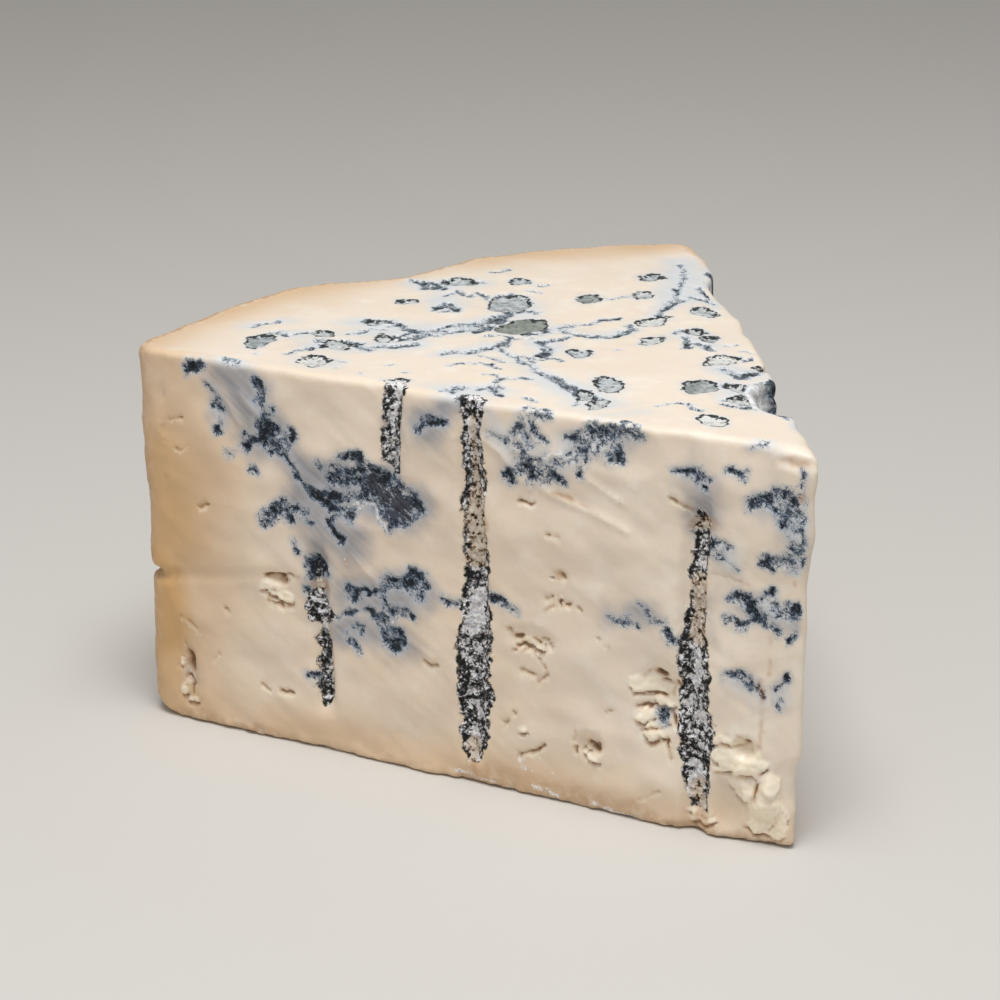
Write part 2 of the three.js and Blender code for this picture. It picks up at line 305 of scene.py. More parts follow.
# How deep the two upright cuts lie inside their true planes.
def cut_relief(run, z):
    depth = 0.35 * uneven(run, z, 34.0) + 0.2 * uneven(run, z, 13.0)
    for middle, low, high, width in CHANNELS:
        wander = middle + CHANNEL_WANDER * np.sin(z / 11.0 + middle)
        opens = smoothstep(z, low - 2.0, low + 3.0)
        closes = 1.0 - smoothstep(z, high - 3.0, high + 2.0)
        depth += CHANNEL_DEPTH * dish(run - wander, 0.0, width / 2.0, 1.0) * opens * closes
    for middle, level, reach, rise, hollow in HOLLOWS:
        depth += hollow * dish(run - middle, z - level, reach, rise)
    pocket = dish(run - POCKET_RUN, z - HEIGHT, POCKET_REACH, POCKET_RISE)
    along = np.clip((run - FISSURE_START) / (FISSURE_END - FISSURE_START), 0.0, 1.0)
    fissure = dish(z - CREASE_Z - FISSURE_CLIMB * along ** 1.3, 0.0, CREASE_HALF_WIDTH, 1.0)
    fade = lerp(1.0, 0.2, smoothstep(along, 0.06, 0.3)) * (1.0 - smoothstep(along, 0.75, 1.0))
    return depth + POCKET_DEPTH * np.sqrt(pocket) + FISSURE_DEPTH * fissure * fade


# How far wear has drawn both cuts in towards the tip.
TIP_WEAR = 0.75
TIP_LEAN = 0.6
TIP_FOOT_WEAR = 0.5


def tip_wear(run, z):
    lean = TIP_LEAN * smoothstep(HEIGHT - z, 14.0, 36.0)
    foot_wear = TIP_FOOT_WEAR * (1.0 - smoothstep(z, 0.0, 18.0))
    return (TIP_WEAR + lean + foot_wear) * (1.0 - smoothstep(np.abs(run), 2.0, 23.0))


# How deep the rind wall lies inside the rim's outline: two low bellies that meet at the crease,
# and a dent at this distance round the wheel from the front cut.
DENT_AROUND = math.radians(30.0) * WHEEL_RADIUS
DENT_REACH = 20.0
DENT_Z = 66.0
DENT_RISE = 48.0
DENT_DEPTH = 7.0
CREASE_DEPTH = 2.6
FAINT_CREASE_DEPTH = 0.7
CREASE_WANDER = 1.6
UPPER_BELLY = 0.3
LOWER_BELLY = 1.3


def rind_relief(turn, z):
    around = turn * WHEEL_RADIUS
    crease = dish(z - CREASE_Z - CREASE_WANDER * np.sin(around / 23.0), 0.0, CREASE_HALF_WIDTH, 1.0)
    crease_depth = lerp(CREASE_DEPTH, FAINT_CREASE_DEPTH, smoothstep(around, 6.0, 32.0))
    depth = 0.8 * uneven(around, z, 52.0) + 0.45 * uneven(around, z, 17.0)
    depth += DENT_DEPTH * dish(around - DENT_AROUND, z - DENT_Z, DENT_REACH, DENT_RISE)
    depth += crease_depth * crease
    belly = np.where(z < CREASE_Z, LOWER_BELLY, UPPER_BELLY)
    return depth - belly * np.abs(np.sin(math.pi * (z - CREASE_Z) / HEIGHT))


# How far the slight waves of the level cut rise.
def top_relief(x, y):
    return 0.35 * uneven(x, y, 47.0) + 0.15 * uneven(x, y, 19.0)


# Blue mould on the front cut, as strokes through (run, z). The wide ones are the open pockets
# that the mould has filled, and the thin ones are its threads between the curds.
FRONT_VEINS = [
    (0.7, [(-78.3, 38.7), (-76.3, 38.2), (-74.3, 38.1)]),
    (0.8, [(-68.1, 40.3), (-65.8, 39.7), (-62.7, 38.6)]),
    (0.8, [(-30.0, 40.4), (-28.0, 39.1), (-25.9, 37.5)]),
    (0.8, [(-31.3, 23.4), (-30.6, 21.4)]),
    (1.1, [(-135.6, 77.4), (-132.7, 78.2)]),
    (0.9, [(-127.2, 80.0), (-124.8, 80.1)]),
    (0.5, [(-131.5, 74.8), (-129.2, 72.7), (-128.2, 69.0), (-128.4, 65.9)]),
    (0.8, [(-128.4, 65.9), (-128.2, 65.7)]),
    (0.5, [(-129.9, 70.7), (-129.8, 70.5)]),
    (1.2, [(-119.9, 76.9), (-118.5, 75.2), (-118.2, 72.8)]),
    (0.7, [(-119.6, 73.4), (-117.7, 72.4), (-117.3, 70.8), (-116.7, 68.9)]),
    (1.9, [(-117.7, 67.7), (-116.9, 65.9), (-115.1, 64.1)]),
    (1.5, [(-118.3, 64.9), (-115.9, 66.9), (-113.7, 64.1)]),
    (1, [(-116.8, 63.0), (-115.3, 63.7), (-113.3, 62.7)]),
    (0.9, [(-120.2, 64.6), (-121.2, 63.2), (-122.2, 62.0)]),
    (0.6, [(-122.7, 65.7), (-122.5, 64.9)]),
    (0.8, [(-111.9, 67.7), (-111.0, 66.8), (-111.1, 65.3)]),
    (0.6, [(-115.7, 72.1), (-115.5, 71.5)]),
    (0.55, [(-121.0, 58.0), (-119.8, 57.7)]),
    (0.3, [(-126.1, 60.5), (-125.8, 60.2)]),
    (1.2, [(-118.6, 47.7), (-116.4, 50.0), (-114.4, 52.5)]),
    (1.3, [(-114.4, 52.2), (-112.9, 50.6), (-113.1, 49.5)]),
    (0.9, [(-112.4, 50.5), (-110.7, 51.4), (-109.3, 51.2)]),
    (0.6, [(-112.8, 62.2), (-110.6, 59.8), (-108.4, 57.4)]),
    (0.5, [(-108.9, 49.8), (-107.8, 49.3)]),
    (0.5, [(-111.7, 44.6), (-110.8, 43.1)]),
    (0.6, [(-105.7, 62.8), (-104.3, 61.6)]),
    (0.8, [(-103.2, 60.7), (-101.4, 60.0), (-100.5, 60.5)]),
    (0.8, [(-102.2, 62.3), (-100.5, 61.2), (-98.0, 61.2)]),
    (1, [(-99.7, 64.4), (-97.0, 64.4)]),
    (0.8, [(-96.3, 65.3), (-94.9, 64.3), (-93.2, 63.1)]),
    (1.4, [(-95.7, 62.5), (-93.2, 62.7), (-91.4, 61.4)]),
    (1.2, [(-98.7, 59.2), (-95.5, 59.7), (-93.3, 58.4)]),
    (1.1, [(-102.8, 59.6), (-99.4, 59.1)]),
    (1.3, [(-107.8, 56.3), (-104.8, 55.7), (-101.1, 55.0), (-97.9, 56.0)]),
    (1.1, [(-107.1, 54.7), (-103.9, 53.5), (-100.8, 52.6), (-98.5, 51.7)]),
    (1, [(-102.2, 50.9), (-99.4, 52.6), (-97.1, 54.0)]),
    (0.9, [(-104.1, 49.9), (-102.3, 48.8), (-100.7, 46.9)]),
    (1.9, [(-91.4, 60.7), (-89.2, 59.4), (-87.0, 57.9), (-85.3, 56.4)]),
    (1.9, [(-94.2, 58.9), (-91.5, 57.4), (-89.3, 55.5), (-87.6, 54.1)]),
    (1.6, [(-90.5, 60.9), (-87.9, 58.8), (-84.4, 57.1)]),
    (1.5, [(-88.9, 53.5), (-86.3, 53.3), (-84.4, 55.3)]),
    (1.2, [(-86.0, 53.2), (-84.0, 54.5), (-83.3, 56.7)]),
    (0.8, [(-95.4, 56.0), (-94.3, 56.8)]),
    (0.8, [(-90.8, 51.7), (-89.9, 50.8)]),
    (1.6, [(-107.9, 40.8), (-107.2, 39.6), (-107.3, 38.6)]),
    (0.7, [(-109.0, 34.8), (-108.8, 34.4)]),
    (0.9, [(-104.9, 38.6), (-105.4, 39.3)]),
    (1.1, [(-99.2, 35.9), (-97.8, 36.2), (-98.4, 34.2)]),
    (0.9, [(-95.5, 37.5), (-94.9, 36.3)]),
    (1, [(-92.6, 36.7), (-90.9, 37.6)]),
    (0.5, [(-94.6, 36.3), (-92.6, 36.5)]),
    (1.2, [(-90.9, 38.7), (-89.3, 40.1), (-87.0, 40.2)]),
    (1.6, [(-87.0, 40.2), (-84.7, 41.3), (-82.7, 41.0)]),
    (0.9, [(-85.2, 42.3), (-84.3, 42.4)]),
    (0.8, [(-83.9, 39.8), (-83.2, 38.8), (-82.8, 37.6)]),
    (0.9, [(-86.6, 39.5), (-85.0, 39.8)]),
    (0.6, [(-91.7, 36.2), (-91.0, 35.3), (-90.3, 34.1)]),
    (0.4, [(-97.7, 55.4), (-95.2, 55.4), (-92.9, 55.1), (-91.2, 54.0), (-89.9, 52.9)]),
    (1.2, [(-89.2, 33.5), (-88.1, 34.6), (-86.0, 34.3), (-85.1, 33.6)]),
    (1.1, [(-94.1, 32.2), (-93.4, 31.4), (-91.8, 31.3)]),
    (1.7, [(-91.8, 31.1), (-91.1, 29.9), (-90.5, 29.0)]),
    (1.6, [(-90.8, 27.2), (-89.2, 26.9), (-88.0, 27.8), (-89.1, 28.8)]),
    (0.6, [(-102.7, 30.4), (-100.5, 31.2), (-98.0, 31.7)]),
    (0.5, [(-98.1, 29.3), (-96.7, 28.7)]),
    (0.6, [(-98.3, 27.5), (-96.3, 27.5)]),
    (0.6, [(-100.0, 25.5), (-98.2, 25.0), (-96.8, 23.7), (-96.4, 22.7)]),
    (0.8, [(-109.5, 15.5), (-107.6, 15.7)]),
    (1.2, [(-82.7, 72.3), (-81.6, 74.2), (-79.2, 75.2), (-77.4, 75.1)]),
    (0.5, [(-75.8, 80.5), (-74.3, 81.3), (-71.9, 81.0)]),
    (0.6, [(-73.7, 78.8), (-72.6, 78.3), (-71.5, 79.5)]),
    (0.6, [(-67.4, 82.3), (-65.1, 82.2), (-63.2, 81.3)]),
    (0.9, [(-66.7, 74.3), (-65.0, 73.5), (-63.5, 73.1)]),
    (0.6, [(-57.7, 81.5), (-56.9, 80.6), (-55.7, 79.6), (-54.8, 78.8)]),
    (1.5, [(-59.9, 78.0), (-58.6, 78.8), (-57.8, 78.0)]),
    (0.9, [(-58.0, 77.9), (-57.8, 76.4), (-57.1, 75.3), (-56.3, 74.6)]),
    (0.9, [(-63.7, 72.7), (-62.6, 73.7), (-62.6, 74.7)]),
    (0.8, [(-61.6, 76.2), (-60.3, 75.4), (-59.7, 74.1), (-58.6, 72.7)]),
    (0.9, [(-62.0, 72.6), (-60.3, 72.4), (-59.5, 71.4), (-59.7, 69.8)]),
    (1.4, [(-60.8, 69.2), (-58.7, 68.7), (-56.5, 68.7)]),
    (1, [(-58.6, 70.3), (-57.0, 69.8), (-55.7, 68.8)]),
    (0.9, [(-63.8, 66.3), (-63.1, 67.2), (-61.0, 67.4)]),
    (0.8, [(-62.9, 65.9), (-62.7, 64.9)]),
    (1, [(-58.9, 67.5), (-58.7, 65.7)]),
    (0.6, [(-57.4, 67.1), (-55.7, 65.6), (-54.9, 67.3)]),
    (0.8, [(-54.7, 67.8), (-53.2, 67.2), (-51.9, 66.0)]),
    (0.5, [(-55.7, 70.8), (-53.6, 70.5), (-52.1, 71.3), (-50.1, 73.0)]),
    (0.5, [(-54.7, 69.6), (-52.1, 70.1), (-49.6, 71.1)]),
    (0.5, [(-47.4, 71.7), (-46.9, 70.9)]),
    (0.5, [(-49.2, 69.6), (-48.4, 68.4)]),
    (1.1, [(-51.1, 75.2), (-49.6, 75.0), (-48.2, 76.0)]),
    (1.9, [(-48.6, 75.4), (-46.3, 77.3), (-44.5, 77.8)]),
    (1.5, [(-44.5, 77.8), (-42.5, 78.1), (-40.6, 77.8)]),
    (1.7, [(-48.8, 73.6), (-47.2, 75.0)]),
    (1.2, [(-45.3, 74.3), (-43.3, 74.8), (-41.0, 75.6)]),
    (0.9, [(-43.7, 73.8), (-42.0, 72.9), (-39.8, 72.8), (-40.2, 74.7), (-40.6, 76.4)]),
    (1, [(-40.6, 76.4), (-40.0, 78.6), (-39.6, 80.4)]),
    (0.8, [(-39.6, 80.4), (-40.4, 81.7)]),
    (1, [(-40.0, 78.4), (-38.4, 78.7), (-36.0, 78.1)]),
    (0.7, [(-38.4, 78.7), (-36.8, 79.3)]),
    (0.5, [(-45.7, 80.7), (-43.7, 81.4), (-41.7, 81.9), (-40.4, 81.7)]),
    (0.5, [(-29.1, 72.8), (-26.9, 72.5), (-24.7, 71.9)]),
    (0.8, [(-24.7, 71.9), (-23.1, 72.4), (-21.9, 72.0)]),
    (0.55, [(-18.4, 74.4), (-17.0, 74.3), (-15.8, 74.1)]),
    (0.8, [(-23.2, 70.2), (-22.6, 69.9)]),
    (0.4, [(-14.2, 78.9), (-11.1, 79.6)]),
    (1.3, [(-13.2, 68.0), (-12.2, 69.1), (-10.5, 69.6), (-9.5, 70.5)]),
    (1.5, [(-9.5, 70.3), (-8.0, 70.7), (-6.1, 70.9)]),
    (0.8, [(-10.4, 68.2), (-8.7, 67.4), (-7.3, 66.8)]),
    (1.2, [(-7.8, 70.6), (-7.5, 69.1), (-7.5, 67.6)]),
    (1.4, [(-6.6, 68.9), (-4.8, 67.8), (-4.1, 70.0)]),
    (1.1, [(-7.3, 66.6), (-6.7, 65.4), (-5.5, 65.2), (-4.2, 65.3)]),
    (0.7, [(-2.9, 75.2), (-3.2, 72.8), (-2.4, 70.3)]),
    (0.7, [(-3.1, 67.2), (-2.6, 63.4), (-2.8, 60.3)]),
    (0.8, [(-2.9, 67.4), (-2.4, 65.9)]),
    (1.3, [(-4.6, 61.9), (-3.5, 61.1)]),
    (0.9, [(-11.1, 57.3), (-9.8, 57.3)]),
    (1.4, [(-9.6, 57.6), (-7.4, 58.1), (-6.1, 58.4)]),
    (1.5, [(-5.3, 58.5), (-4.5, 57.7), (-3.0, 58.7)]),
    (0.8, [(-21.1, 60.1), (-19.1, 59.4), (-17.5, 58.7)]),
    (0.5, [(-20.4, 57.0), (-18.6, 56.6), (-16.4, 55.6)]),
    (1.3, [(-24.3, 60.3), (-22.3, 59.5)]),
    (0.9, [(-17.5, 49.7), (-15.5, 49.1), (-13.7, 49.0)]),
    (1.3, [(-13.7, 49.0), (-13.1, 47.7), (-12.0, 46.9)]),
    (0.8, [(-18.0, 45.6), (-16.6, 45.1), (-15.6, 44.1)]),
    (0.7, [(-15.2, 44.8), (-13.6, 45.5), (-11.4, 46.6)]),
    (0.9, [(-12.5, 48.8), (-10.7, 49.5), (-9.6, 50.7), (-8.6, 51.3)]),
    (0.9, [(-9.1, 49.2), (-7.6, 48.5), (-5.2, 48.8)]),
    (1.2, [(-7.5, 47.2), (-4.6, 47.1), (-2.5, 48.9)]),
    (0.8, [(-8.6, 45.2), (-7.4, 44.2)]),
    (0.5, [(-10.3, 47.6), (-10.4, 44.7)]),
    (0.6, [(-2.6, 44.6), (-3.9, 42.7)]),
    (1.2, [(-16.9, 34.0), (-15.1, 34.0), (-13.7, 33.0)]),
    (0.5, [(-11.5, 33.5), (-11.4, 30.9)]),
    (1.1, [(-4.8, 35.2), (-4.4, 34.3), (-5.6, 33.6), (-7.1, 32.9)]),
    (0.6, [(-7.0, 29.9), (-5.9, 30.4)]),
    (0.35, [(-42.1, 41.2), (-39.8, 41.0), (-37.3, 41.4), (-36.0, 41.1)]),
    (0.3, [(-39.6, 41.0), (-38.3, 40.2)]),
    (0.35, [(-36.5, 45.2), (-35.0, 43.9), (-33.4, 42.8), (-30.7, 42.3)]),
    (0.3, [(-34.4, 44.8), (-33.6, 43.3)]),
]

# The grey-blue breath of young mould round the veins of the front cut.
FRONT_HAZE = [
    (7, [(-125.7, 77.9), (-123.0, 74.2), (-118.2, 67.0)]),
    (4, [(-129.1, 75.8), (-127.5, 69.8)]),
    (4, [(-117.9, 73.2), (-115.3, 65.3)]),
    (5, [(-113.1, 62.5), (-106.3, 58.4), (-100.7, 55.1)]),
    (6, [(-102.8, 58.9), (-91.6, 56.6), (-86.0, 55.0)]),
    (6, [(-109.9, 53.6), (-103.2, 49.5), (-99.8, 46.9)]),
    (4, [(-106.1, 45.8), (-106.8, 37.1), (-105.0, 31.0)]),
    (1.5, [(-138.6, 16.3), (-137.8, 8.4)]),
    (5, [(-100.2, 34.0), (-92.1, 35.5), (-84.1, 39.1)]),
    (4.5, [(-100.4, 28.6), (-91.2, 28.2), (-87.8, 27.8)]),
    (2.5, [(-88.2, 80.5), (-88.7, 61.2)]),
    (4, [(-81.2, 73.5), (-75.6, 78.9), (-71.3, 79.9)]),
    (1.6, [(-69.2, 80.2), (-65.0, 74.9), (-62.9, 68.3)]),
    (1.6, [(-61.8, 75.4), (-57.6, 70.1), (-52.4, 68.9)]),
    (2.5, [(-50.3, 73.2), (-44.1, 76.1), (-39.0, 76.9)]),
    (4, [(-25.9, 72.1), (-22.8, 70.7), (-22.7, 63.9)]),
    (2.5, [(-21.2, 58.3), (-18.0, 57.3)]),
    (3.5, [(-11.0, 68.7), (-5.2, 66.8), (-4.0, 59.3)]),
    (2, [(-15.4, 47.5), (-9.5, 48.2), (-3.6, 46.7)]),
    (1.5, [(-15.1, 33.2), (-12.0, 30.1), (-5.1, 31.5)]),
    (1.5, [(-21.4, 48.4), (-20.9, 40.5)]),
    (3, [(-40.8, 41.6), (-35.6, 43.4)]),
    (1.5, [(-13.8, 79.1), (-7.5, 79.4)]),
]

# Cracks in the paste, and ridges that the knife dragged up, on the front cut.
FRONT_CRACKS = [
    (0.3, [(-141.8, 66.4), (-140.2, 65.8), (-137.4, 66.9)]),
    (0.35, [(-139.5, 17.7), (-138.9, 15.4)]),
    (0.6, [(-138.9, 15.4), (-138.3, 14.2), (-138.6, 12.8), (-137.9, 11.3)]),
    (0.55, [(-139.0, 10.2), (-137.3, 8.9)]),
    (0.5, [(-137.8, 8.4), (-137.7, 6.1)]),
    (0.3, [(-139.7, 23.3), (-137.3, 22.4), (-135.2, 20.6)]),
    (0.3, [(-132.5, 15.3), (-130.5, 16.6)]),
    (0.3, [(-120.7, 11.8), (-118.8, 10.8)]),
    (0.3, [(-139.3, 60.4), (-138.1, 59.8), (-136.3, 61.1)]),
    (0.35, [(-133.9, 48.0), (-131.9, 49.2)]),
    (0.22, [(-53.2, 64.0), (-50.3, 63.3), (-46.1, 62.0), (-44.0, 61.5)]),
    (0.6, [(-118.7, 36.0), (-117.0, 36.0), (-115.1, 36.4)]),
    (0.45, [(-115.1, 36.2), (-113.4, 37.0), (-111.3, 37.0)]),
    (0.5, [(-116.3, 35.9), (-114.7, 35.1)]),
    (0.45, [(-115.8, 30.6), (-114.9, 30.1)]),
    (0.3, [(-118.4, 30.7), (-115.8, 30.6)]),
    (0.3, [(-129.0, 27.1), (-128.0, 26.6)]),
    (0.4, [(-61.3, 61.3), (-60.0, 61.5), (-58.7, 60.7), (-57.8, 61.3)]),
    (0.35, [(-55.1, 55.7), (-53.6, 55.9), (-52.2, 55.2)]),
    (0.3, [(-64.9, 35.3), (-64.1, 35.2)]),
    (0.6, [(-63.4, 34.7), (-63.0, 34.6)]),
    (0.5, [(-63.2, 34.6), (-62.8, 33.6), (-61.9, 33.3)]),
    (0.8, [(-62.1, 33.3), (-61.0, 33.3)]),
    (0.35, [(-62.6, 30.3), (-61.7, 30.9), (-61.3, 31.6), (-60.6, 31.9)]),
    (0.5, [(-60.6, 31.9), (-59.5, 31.7), (-58.7, 31.4)]),
    (0.25, [(-60.8, 30.0), (-59.5, 30.9), (-58.9, 31.2), (-58.0, 30.1)]),
    (0.5, [(-58.4, 33.6), (-57.6, 33.1), (-57.1, 32.6)]),
    (0.45, [(-56.1, 33.8), (-55.0, 33.6)]),
    (0.45, [(-54.6, 32.9), (-54.1, 32.3)]),
    (0.35, [(-55.9, 28.6), (-55.6, 28.1)]),
    (0.35, [(-60.9, 26.8), (-59.8, 26.4), (-58.7, 26.2), (-58.0, 26.1)]),
    (0.3, [(-57.2, 24.8), (-56.5, 25.6), (-55.7, 26.2), (-55.0, 27.1)]),
    (0.3, [(-56.9, 29.5), (-56.5, 28.7)]),
    (0.4, [(-55.2, 42.4), (-54.7, 42.9), (-54.1, 43.1)]),
    (0.3, [(-55.6, 40.1), (-54.5, 40.7), (-53.7, 41.3)]),
    (0.5, [(-52.6, 42.9), (-52.4, 41.9)]),
    (0.6, [(-51.3, 42.1), (-50.5, 41.9)]),
    (0.6, [(-48.6, 41.6), (-47.9, 41.1)]),
    (0.3, [(-47.9, 41.1), (-47.5, 40.8)]),
    (0.5, [(-52.4, 47.8), (-51.5, 47.4)]),
    (0.35, [(-44.3, 36.2), (-43.9, 35.9)]),
    (0.3, [(-43.1, 35.5), (-41.8, 35.1)]),
    (0.3, [(-42.8, 21.2), (-40.7, 22.1)]),
    (0.4, [(-62.7, 17.1), (-62.2, 17.0)]),
    (0.3, [(-64.5, 14.6), (-63.8, 15.4)]),
    (0.3, [(-61.4, 8.0), (-60.5, 8.7), (-59.0, 9.4), (-57.5, 10.5)]),
    (0.5, [(-58.8, 9.6), (-57.5, 10.5), (-55.9, 11.7)]),
    (0.7, [(-46.4, 13.9), (-45.6, 13.7), (-44.5, 13.9)]),
    (0.9, [(-45.6, 13.3), (-44.5, 13.1)]),
    (0.4, [(-49.0, 15.9), (-49.4, 14.6)]),
    (0.4, [(-49.0, 13.0), (-48.8, 11.7)]),
    (0.45, [(-82.4, 23.9), (-80.9, 23.3), (-79.3, 24.3)]),
    (0.4, [(-116.2, 11.4), (-113.0, 11.5)]),
    (0.22, [(-21.1, 53.8), (-16.6, 53.2), (-13.6, 52.4)]),
    (0.24, [(-29.8, 67.4), (-27.8, 66.4), (-25.7, 64.9)]),
    (0.9, [(-32.4, 31.1), (-31.0, 31.0)]),
    (0.35, [(-35.3, 30.4), (-33.9, 30.9)]),
    (0.35, [(-31.4, 29.7), (-28.3, 29.7)]),
    (0.6, [(-28.1, 30.4), (-27.6, 29.4)]),
    (0.3, [(-28.7, 28.8), (-29.3, 27.5)]),
    (0.35, [(-33.4, 26.4), (-32.1, 26.7), (-30.9, 26.5)]),
    (0.45, [(-36.1, 23.8), (-34.4, 24.2), (-33.8, 23.7)]),
    (0.35, [(-33.8, 24.1), (-32.3, 24.8)]),
    (0.6, [(-29.8, 24.1), (-28.8, 23.0), (-28.4, 21.5)]),
    (0.45, [(-35.4, 19.2), (-33.3, 20.0), (-32.3, 19.8), (-29.6, 21.0)]),
    (0.5, [(-33.3, 16.7), (-31.2, 17.4), (-29.6, 18.3)]),
    (0.4, [(-30.0, 17.6), (-29.5, 15.8), (-28.9, 14.1)]),
    (0.3, [(-35.5, 5.3), (-33.2, 6.2), (-31.1, 7.3)]),
    (0.5, [(-15.5, 21.9), (-14.4, 20.9), (-13.4, 20.3)]),
    (0.7, [(-14.4, 20.5), (-13.6, 20.2)]),
    (0.35, [(-16.2, 19.3), (-14.4, 19.9), (-13.4, 20.1), (-13.0, 19.1)]),
    (0.35, [(-18.5, 20.0), (-17.2, 19.5)]),
    (0.35, [(-19.6, 13.6), (-18.3, 13.0), (-15.7, 13.4), (-14.3, 13.5)]),
    (0.45, [(-11.2, 12.7), (-11.6, 11.0), (-11.9, 9.5)]),
    (0.3, [(-8.3, 3.4), (-7.1, 4.3), (-5.5, 4.9)]),
]
FRONT_RIDGES = [
    (0.5, [(-56.4, 64.5), (-54.2, 63.5), (-50.1, 62.3), (-45.7, 61.4), (-41.5, 60.2), (-38.2, 59.1)]),
    (0.5, [(-68.8, 72.9), (-64.8, 70.4), (-59.3, 64.0)]),
    (0.25, [(-46.1, 67.5), (-42.4, 65.6), (-39.5, 64.5)]),
    (0.35, [(-88.4, 28.7), (-83.0, 27.0), (-80.4, 25.6)]),
    (0.35, [(-99.6, 45.8), (-95.8, 41.6), (-92.3, 38.9)]),
    (0.5, [(-123.1, 73.5), (-118.1, 69.1), (-109.7, 59.9), (-103.0, 54.7)]),
    (0.5, [(-131.2, 75.5), (-127.4, 72.3), (-123.4, 67.2)]),
]

# White down, brown stain, smooth slate skin and pale blue down, in the mould of the front cut.
# One white stroke is a painted glint, and some brown ones are painted shade.
FRONT_DOWN_AND_GLINT = [
    (0.8, [(-87.8, 80.4), (-87.2, 79.2)]),
    (0.25, [(-87.8, 79.2), (-88.3, 75.0), (-88.6, 65.0)]),
    (0.5, [(-88.3, 77.5), (-88.6, 74.2)]),
    (0.4, [(-88.5, 71.4), (-88.8, 66.9)]),
    (0.8, [(-70.2, 80.7), (-69.8, 79.9)]),
    (0.7, [(-71.8, 74.9), (-71.4, 72.8)]),
    (0.5, [(-70.6, 69.7), (-70.4, 68.5)]),
    (1.5, [(-71.0, 40.0), (-71.0, 38.1)]),
    (1.7, [(-71.3, 36.8), (-71.1, 34.7)]),
    (0.9, [(-71.5, 33.4), (-71.8, 32.1)]),
    (0.6, [(-70.3, 29.0), (-70.3, 28.6)]),
    (0.5, [(-72.7, 26.4), (-72.5, 25.2)]),
    (1.0, [(-71.8, 16.4), (-70.9, 14.8)]),
    (0.6, [(-71.6, 11.2), (-71.2, 10.0)]),
    (0.5, [(-106.6, 31.6), (-106.1, 31.5)]),
    (0.5, [(-106.3, 27.3), (-105.8, 26.1)]),
    (0.8, [(-24.3, 36.8), (-24.4, 30.1)]),
    (0.5, [(-23.9, 50.9), (-23.7, 49.6)]),
    (0.9, [(-25.1, 27.5), (-26.0, 26.5)]),
    (1.2, [(-24.5, 23.9), (-23.0, 23.2)]),
    (0.6, [(-22.6, 24.7), (-22.2, 22.3)]),
    (1.1, [(-24.7, 13.5), (-23.7, 11.2)]),
    (0.8, [(-24.9, 10.1), (-24.8, 7.8)]),
    (0.6, [(-23.3, 5.9), (-22.9, 2.6)]),
    (0.5, [(-99.1, 54.1), (-97.7, 54.7), (-97.0, 53.6), (-95.5, 54.6), (-93.6, 54.6)]),
    (0.5, [(-93.6, 54.6), (-92.3, 53.8), (-91.7, 52.6), (-90.5, 52.2), (-90.1, 51.0)]),
    (0.5, [(-55.7, 71.0), (-54.6, 71.9), (-53.2, 72.5), (-51.9, 71.7)]),
    (0.8, [(-46.3, 75.0), (-45.9, 74.4)]),
    (0.4, [(-56.8, 66.6), (-55.9, 66.0), (-55.1, 66.7)]),
    (0.5, [(-72.4, 4.0), (-71.7, 1.6)]),
    (0.3, [(-61.4, 7.8), (-60.3, 6.7), (-59.0, 5.5)]),
    (0.25, [(-57.0, 8.9), (-55.1, 6.3), (-53.3, 3.7), (-52.5, 1.9)]),
    (0.5, [(-59.5, 2.6), (-56.2, 2.0), (-52.9, 1.2)]),
    (0.45, [(-76.5, 2.2), (-72.0, 1.4), (-65.7, 0.8)]),
    (0.5, [(-46.0, 1.5), (-41.2, 1.0), (-36.9, 0.7)]),
    # A painted glint: a small white highlight spot on the paste.
    (0.25, [(-129.2, 77.4), (-128.6, 76.8)]),
    (0.5, [(-89.5, 31.5), (-89.5, 31.1)]),
    (0.5, [(-100.2, 42.6), (-99.3, 41.5)]),
]
FRONT_BROWN_AND_SHADE = [
    # Painted shade along a crease near the tip.
    (0.7, [(-11.2, 33.6), (-11.4, 30.0), (-11.1, 25.5), (-10.7, 20.4)]),
    (0.5, [(-9.6, 42.8), (-9.2, 40.5), (-9.6, 35.0)]),
    (0.8, [(-53.2, 48.0), (-52.4, 47.2)]),
    (1.0, [(-71.0, 76.0), (-70.9, 62.0)]),
    (2.6, [(-70.7, 60.0), (-70.9, 47.7)]),
    (1.4, [(-106.9, 35.6), (-105.5, 35.7)]),
    (1.6, [(-24.7, 62.4), (-21.9, 63.0)]),
    (2.0, [(-24.1, 50.9), (-23.9, 39.9)]),
    (0.5, [(-85.8, 61.6), (-84.9, 61.8)]),
    (0.5, [(-52.0, 48.3), (-51.5, 48.0)]),
    # Painted shadow under the rolled lip at the tip.
    (0.8, [(-6.2, 77.3), (-4.2, 76.9), (-2.2, 77.5)]),
    (1.6, [(-23.6, 9.5), (-22.9, 2.0)]),
    (1.2, [(-72.3, 9.0), (-71.7, 3.0)]),
    (0.8, [(-2.8, 71.2), (-2.8, 70.4)]),
    (0.6, [(-3.3, 55.0), (-3.2, 54.0)]),
    (0.8, [(-99.7, 42.9), (-99.5, 41.4)]),
    (0.5, [(-45.7, 80.9), (-40.4, 81.9)]),
    # Painted shade above the knife ridge.
    (0.7, [(-53.2, 63.8), (-50.1, 63.3)]),
]
FRONT_SLATE = [
    (1.5, [(-93.3, 60.0), (-90.6, 58.2)]),
    (2.0, [(-90.6, 58.0), (-86.9, 55.9)]),
    (1.2, [(-88.9, 54.1), (-86.7, 54.5)]),
]
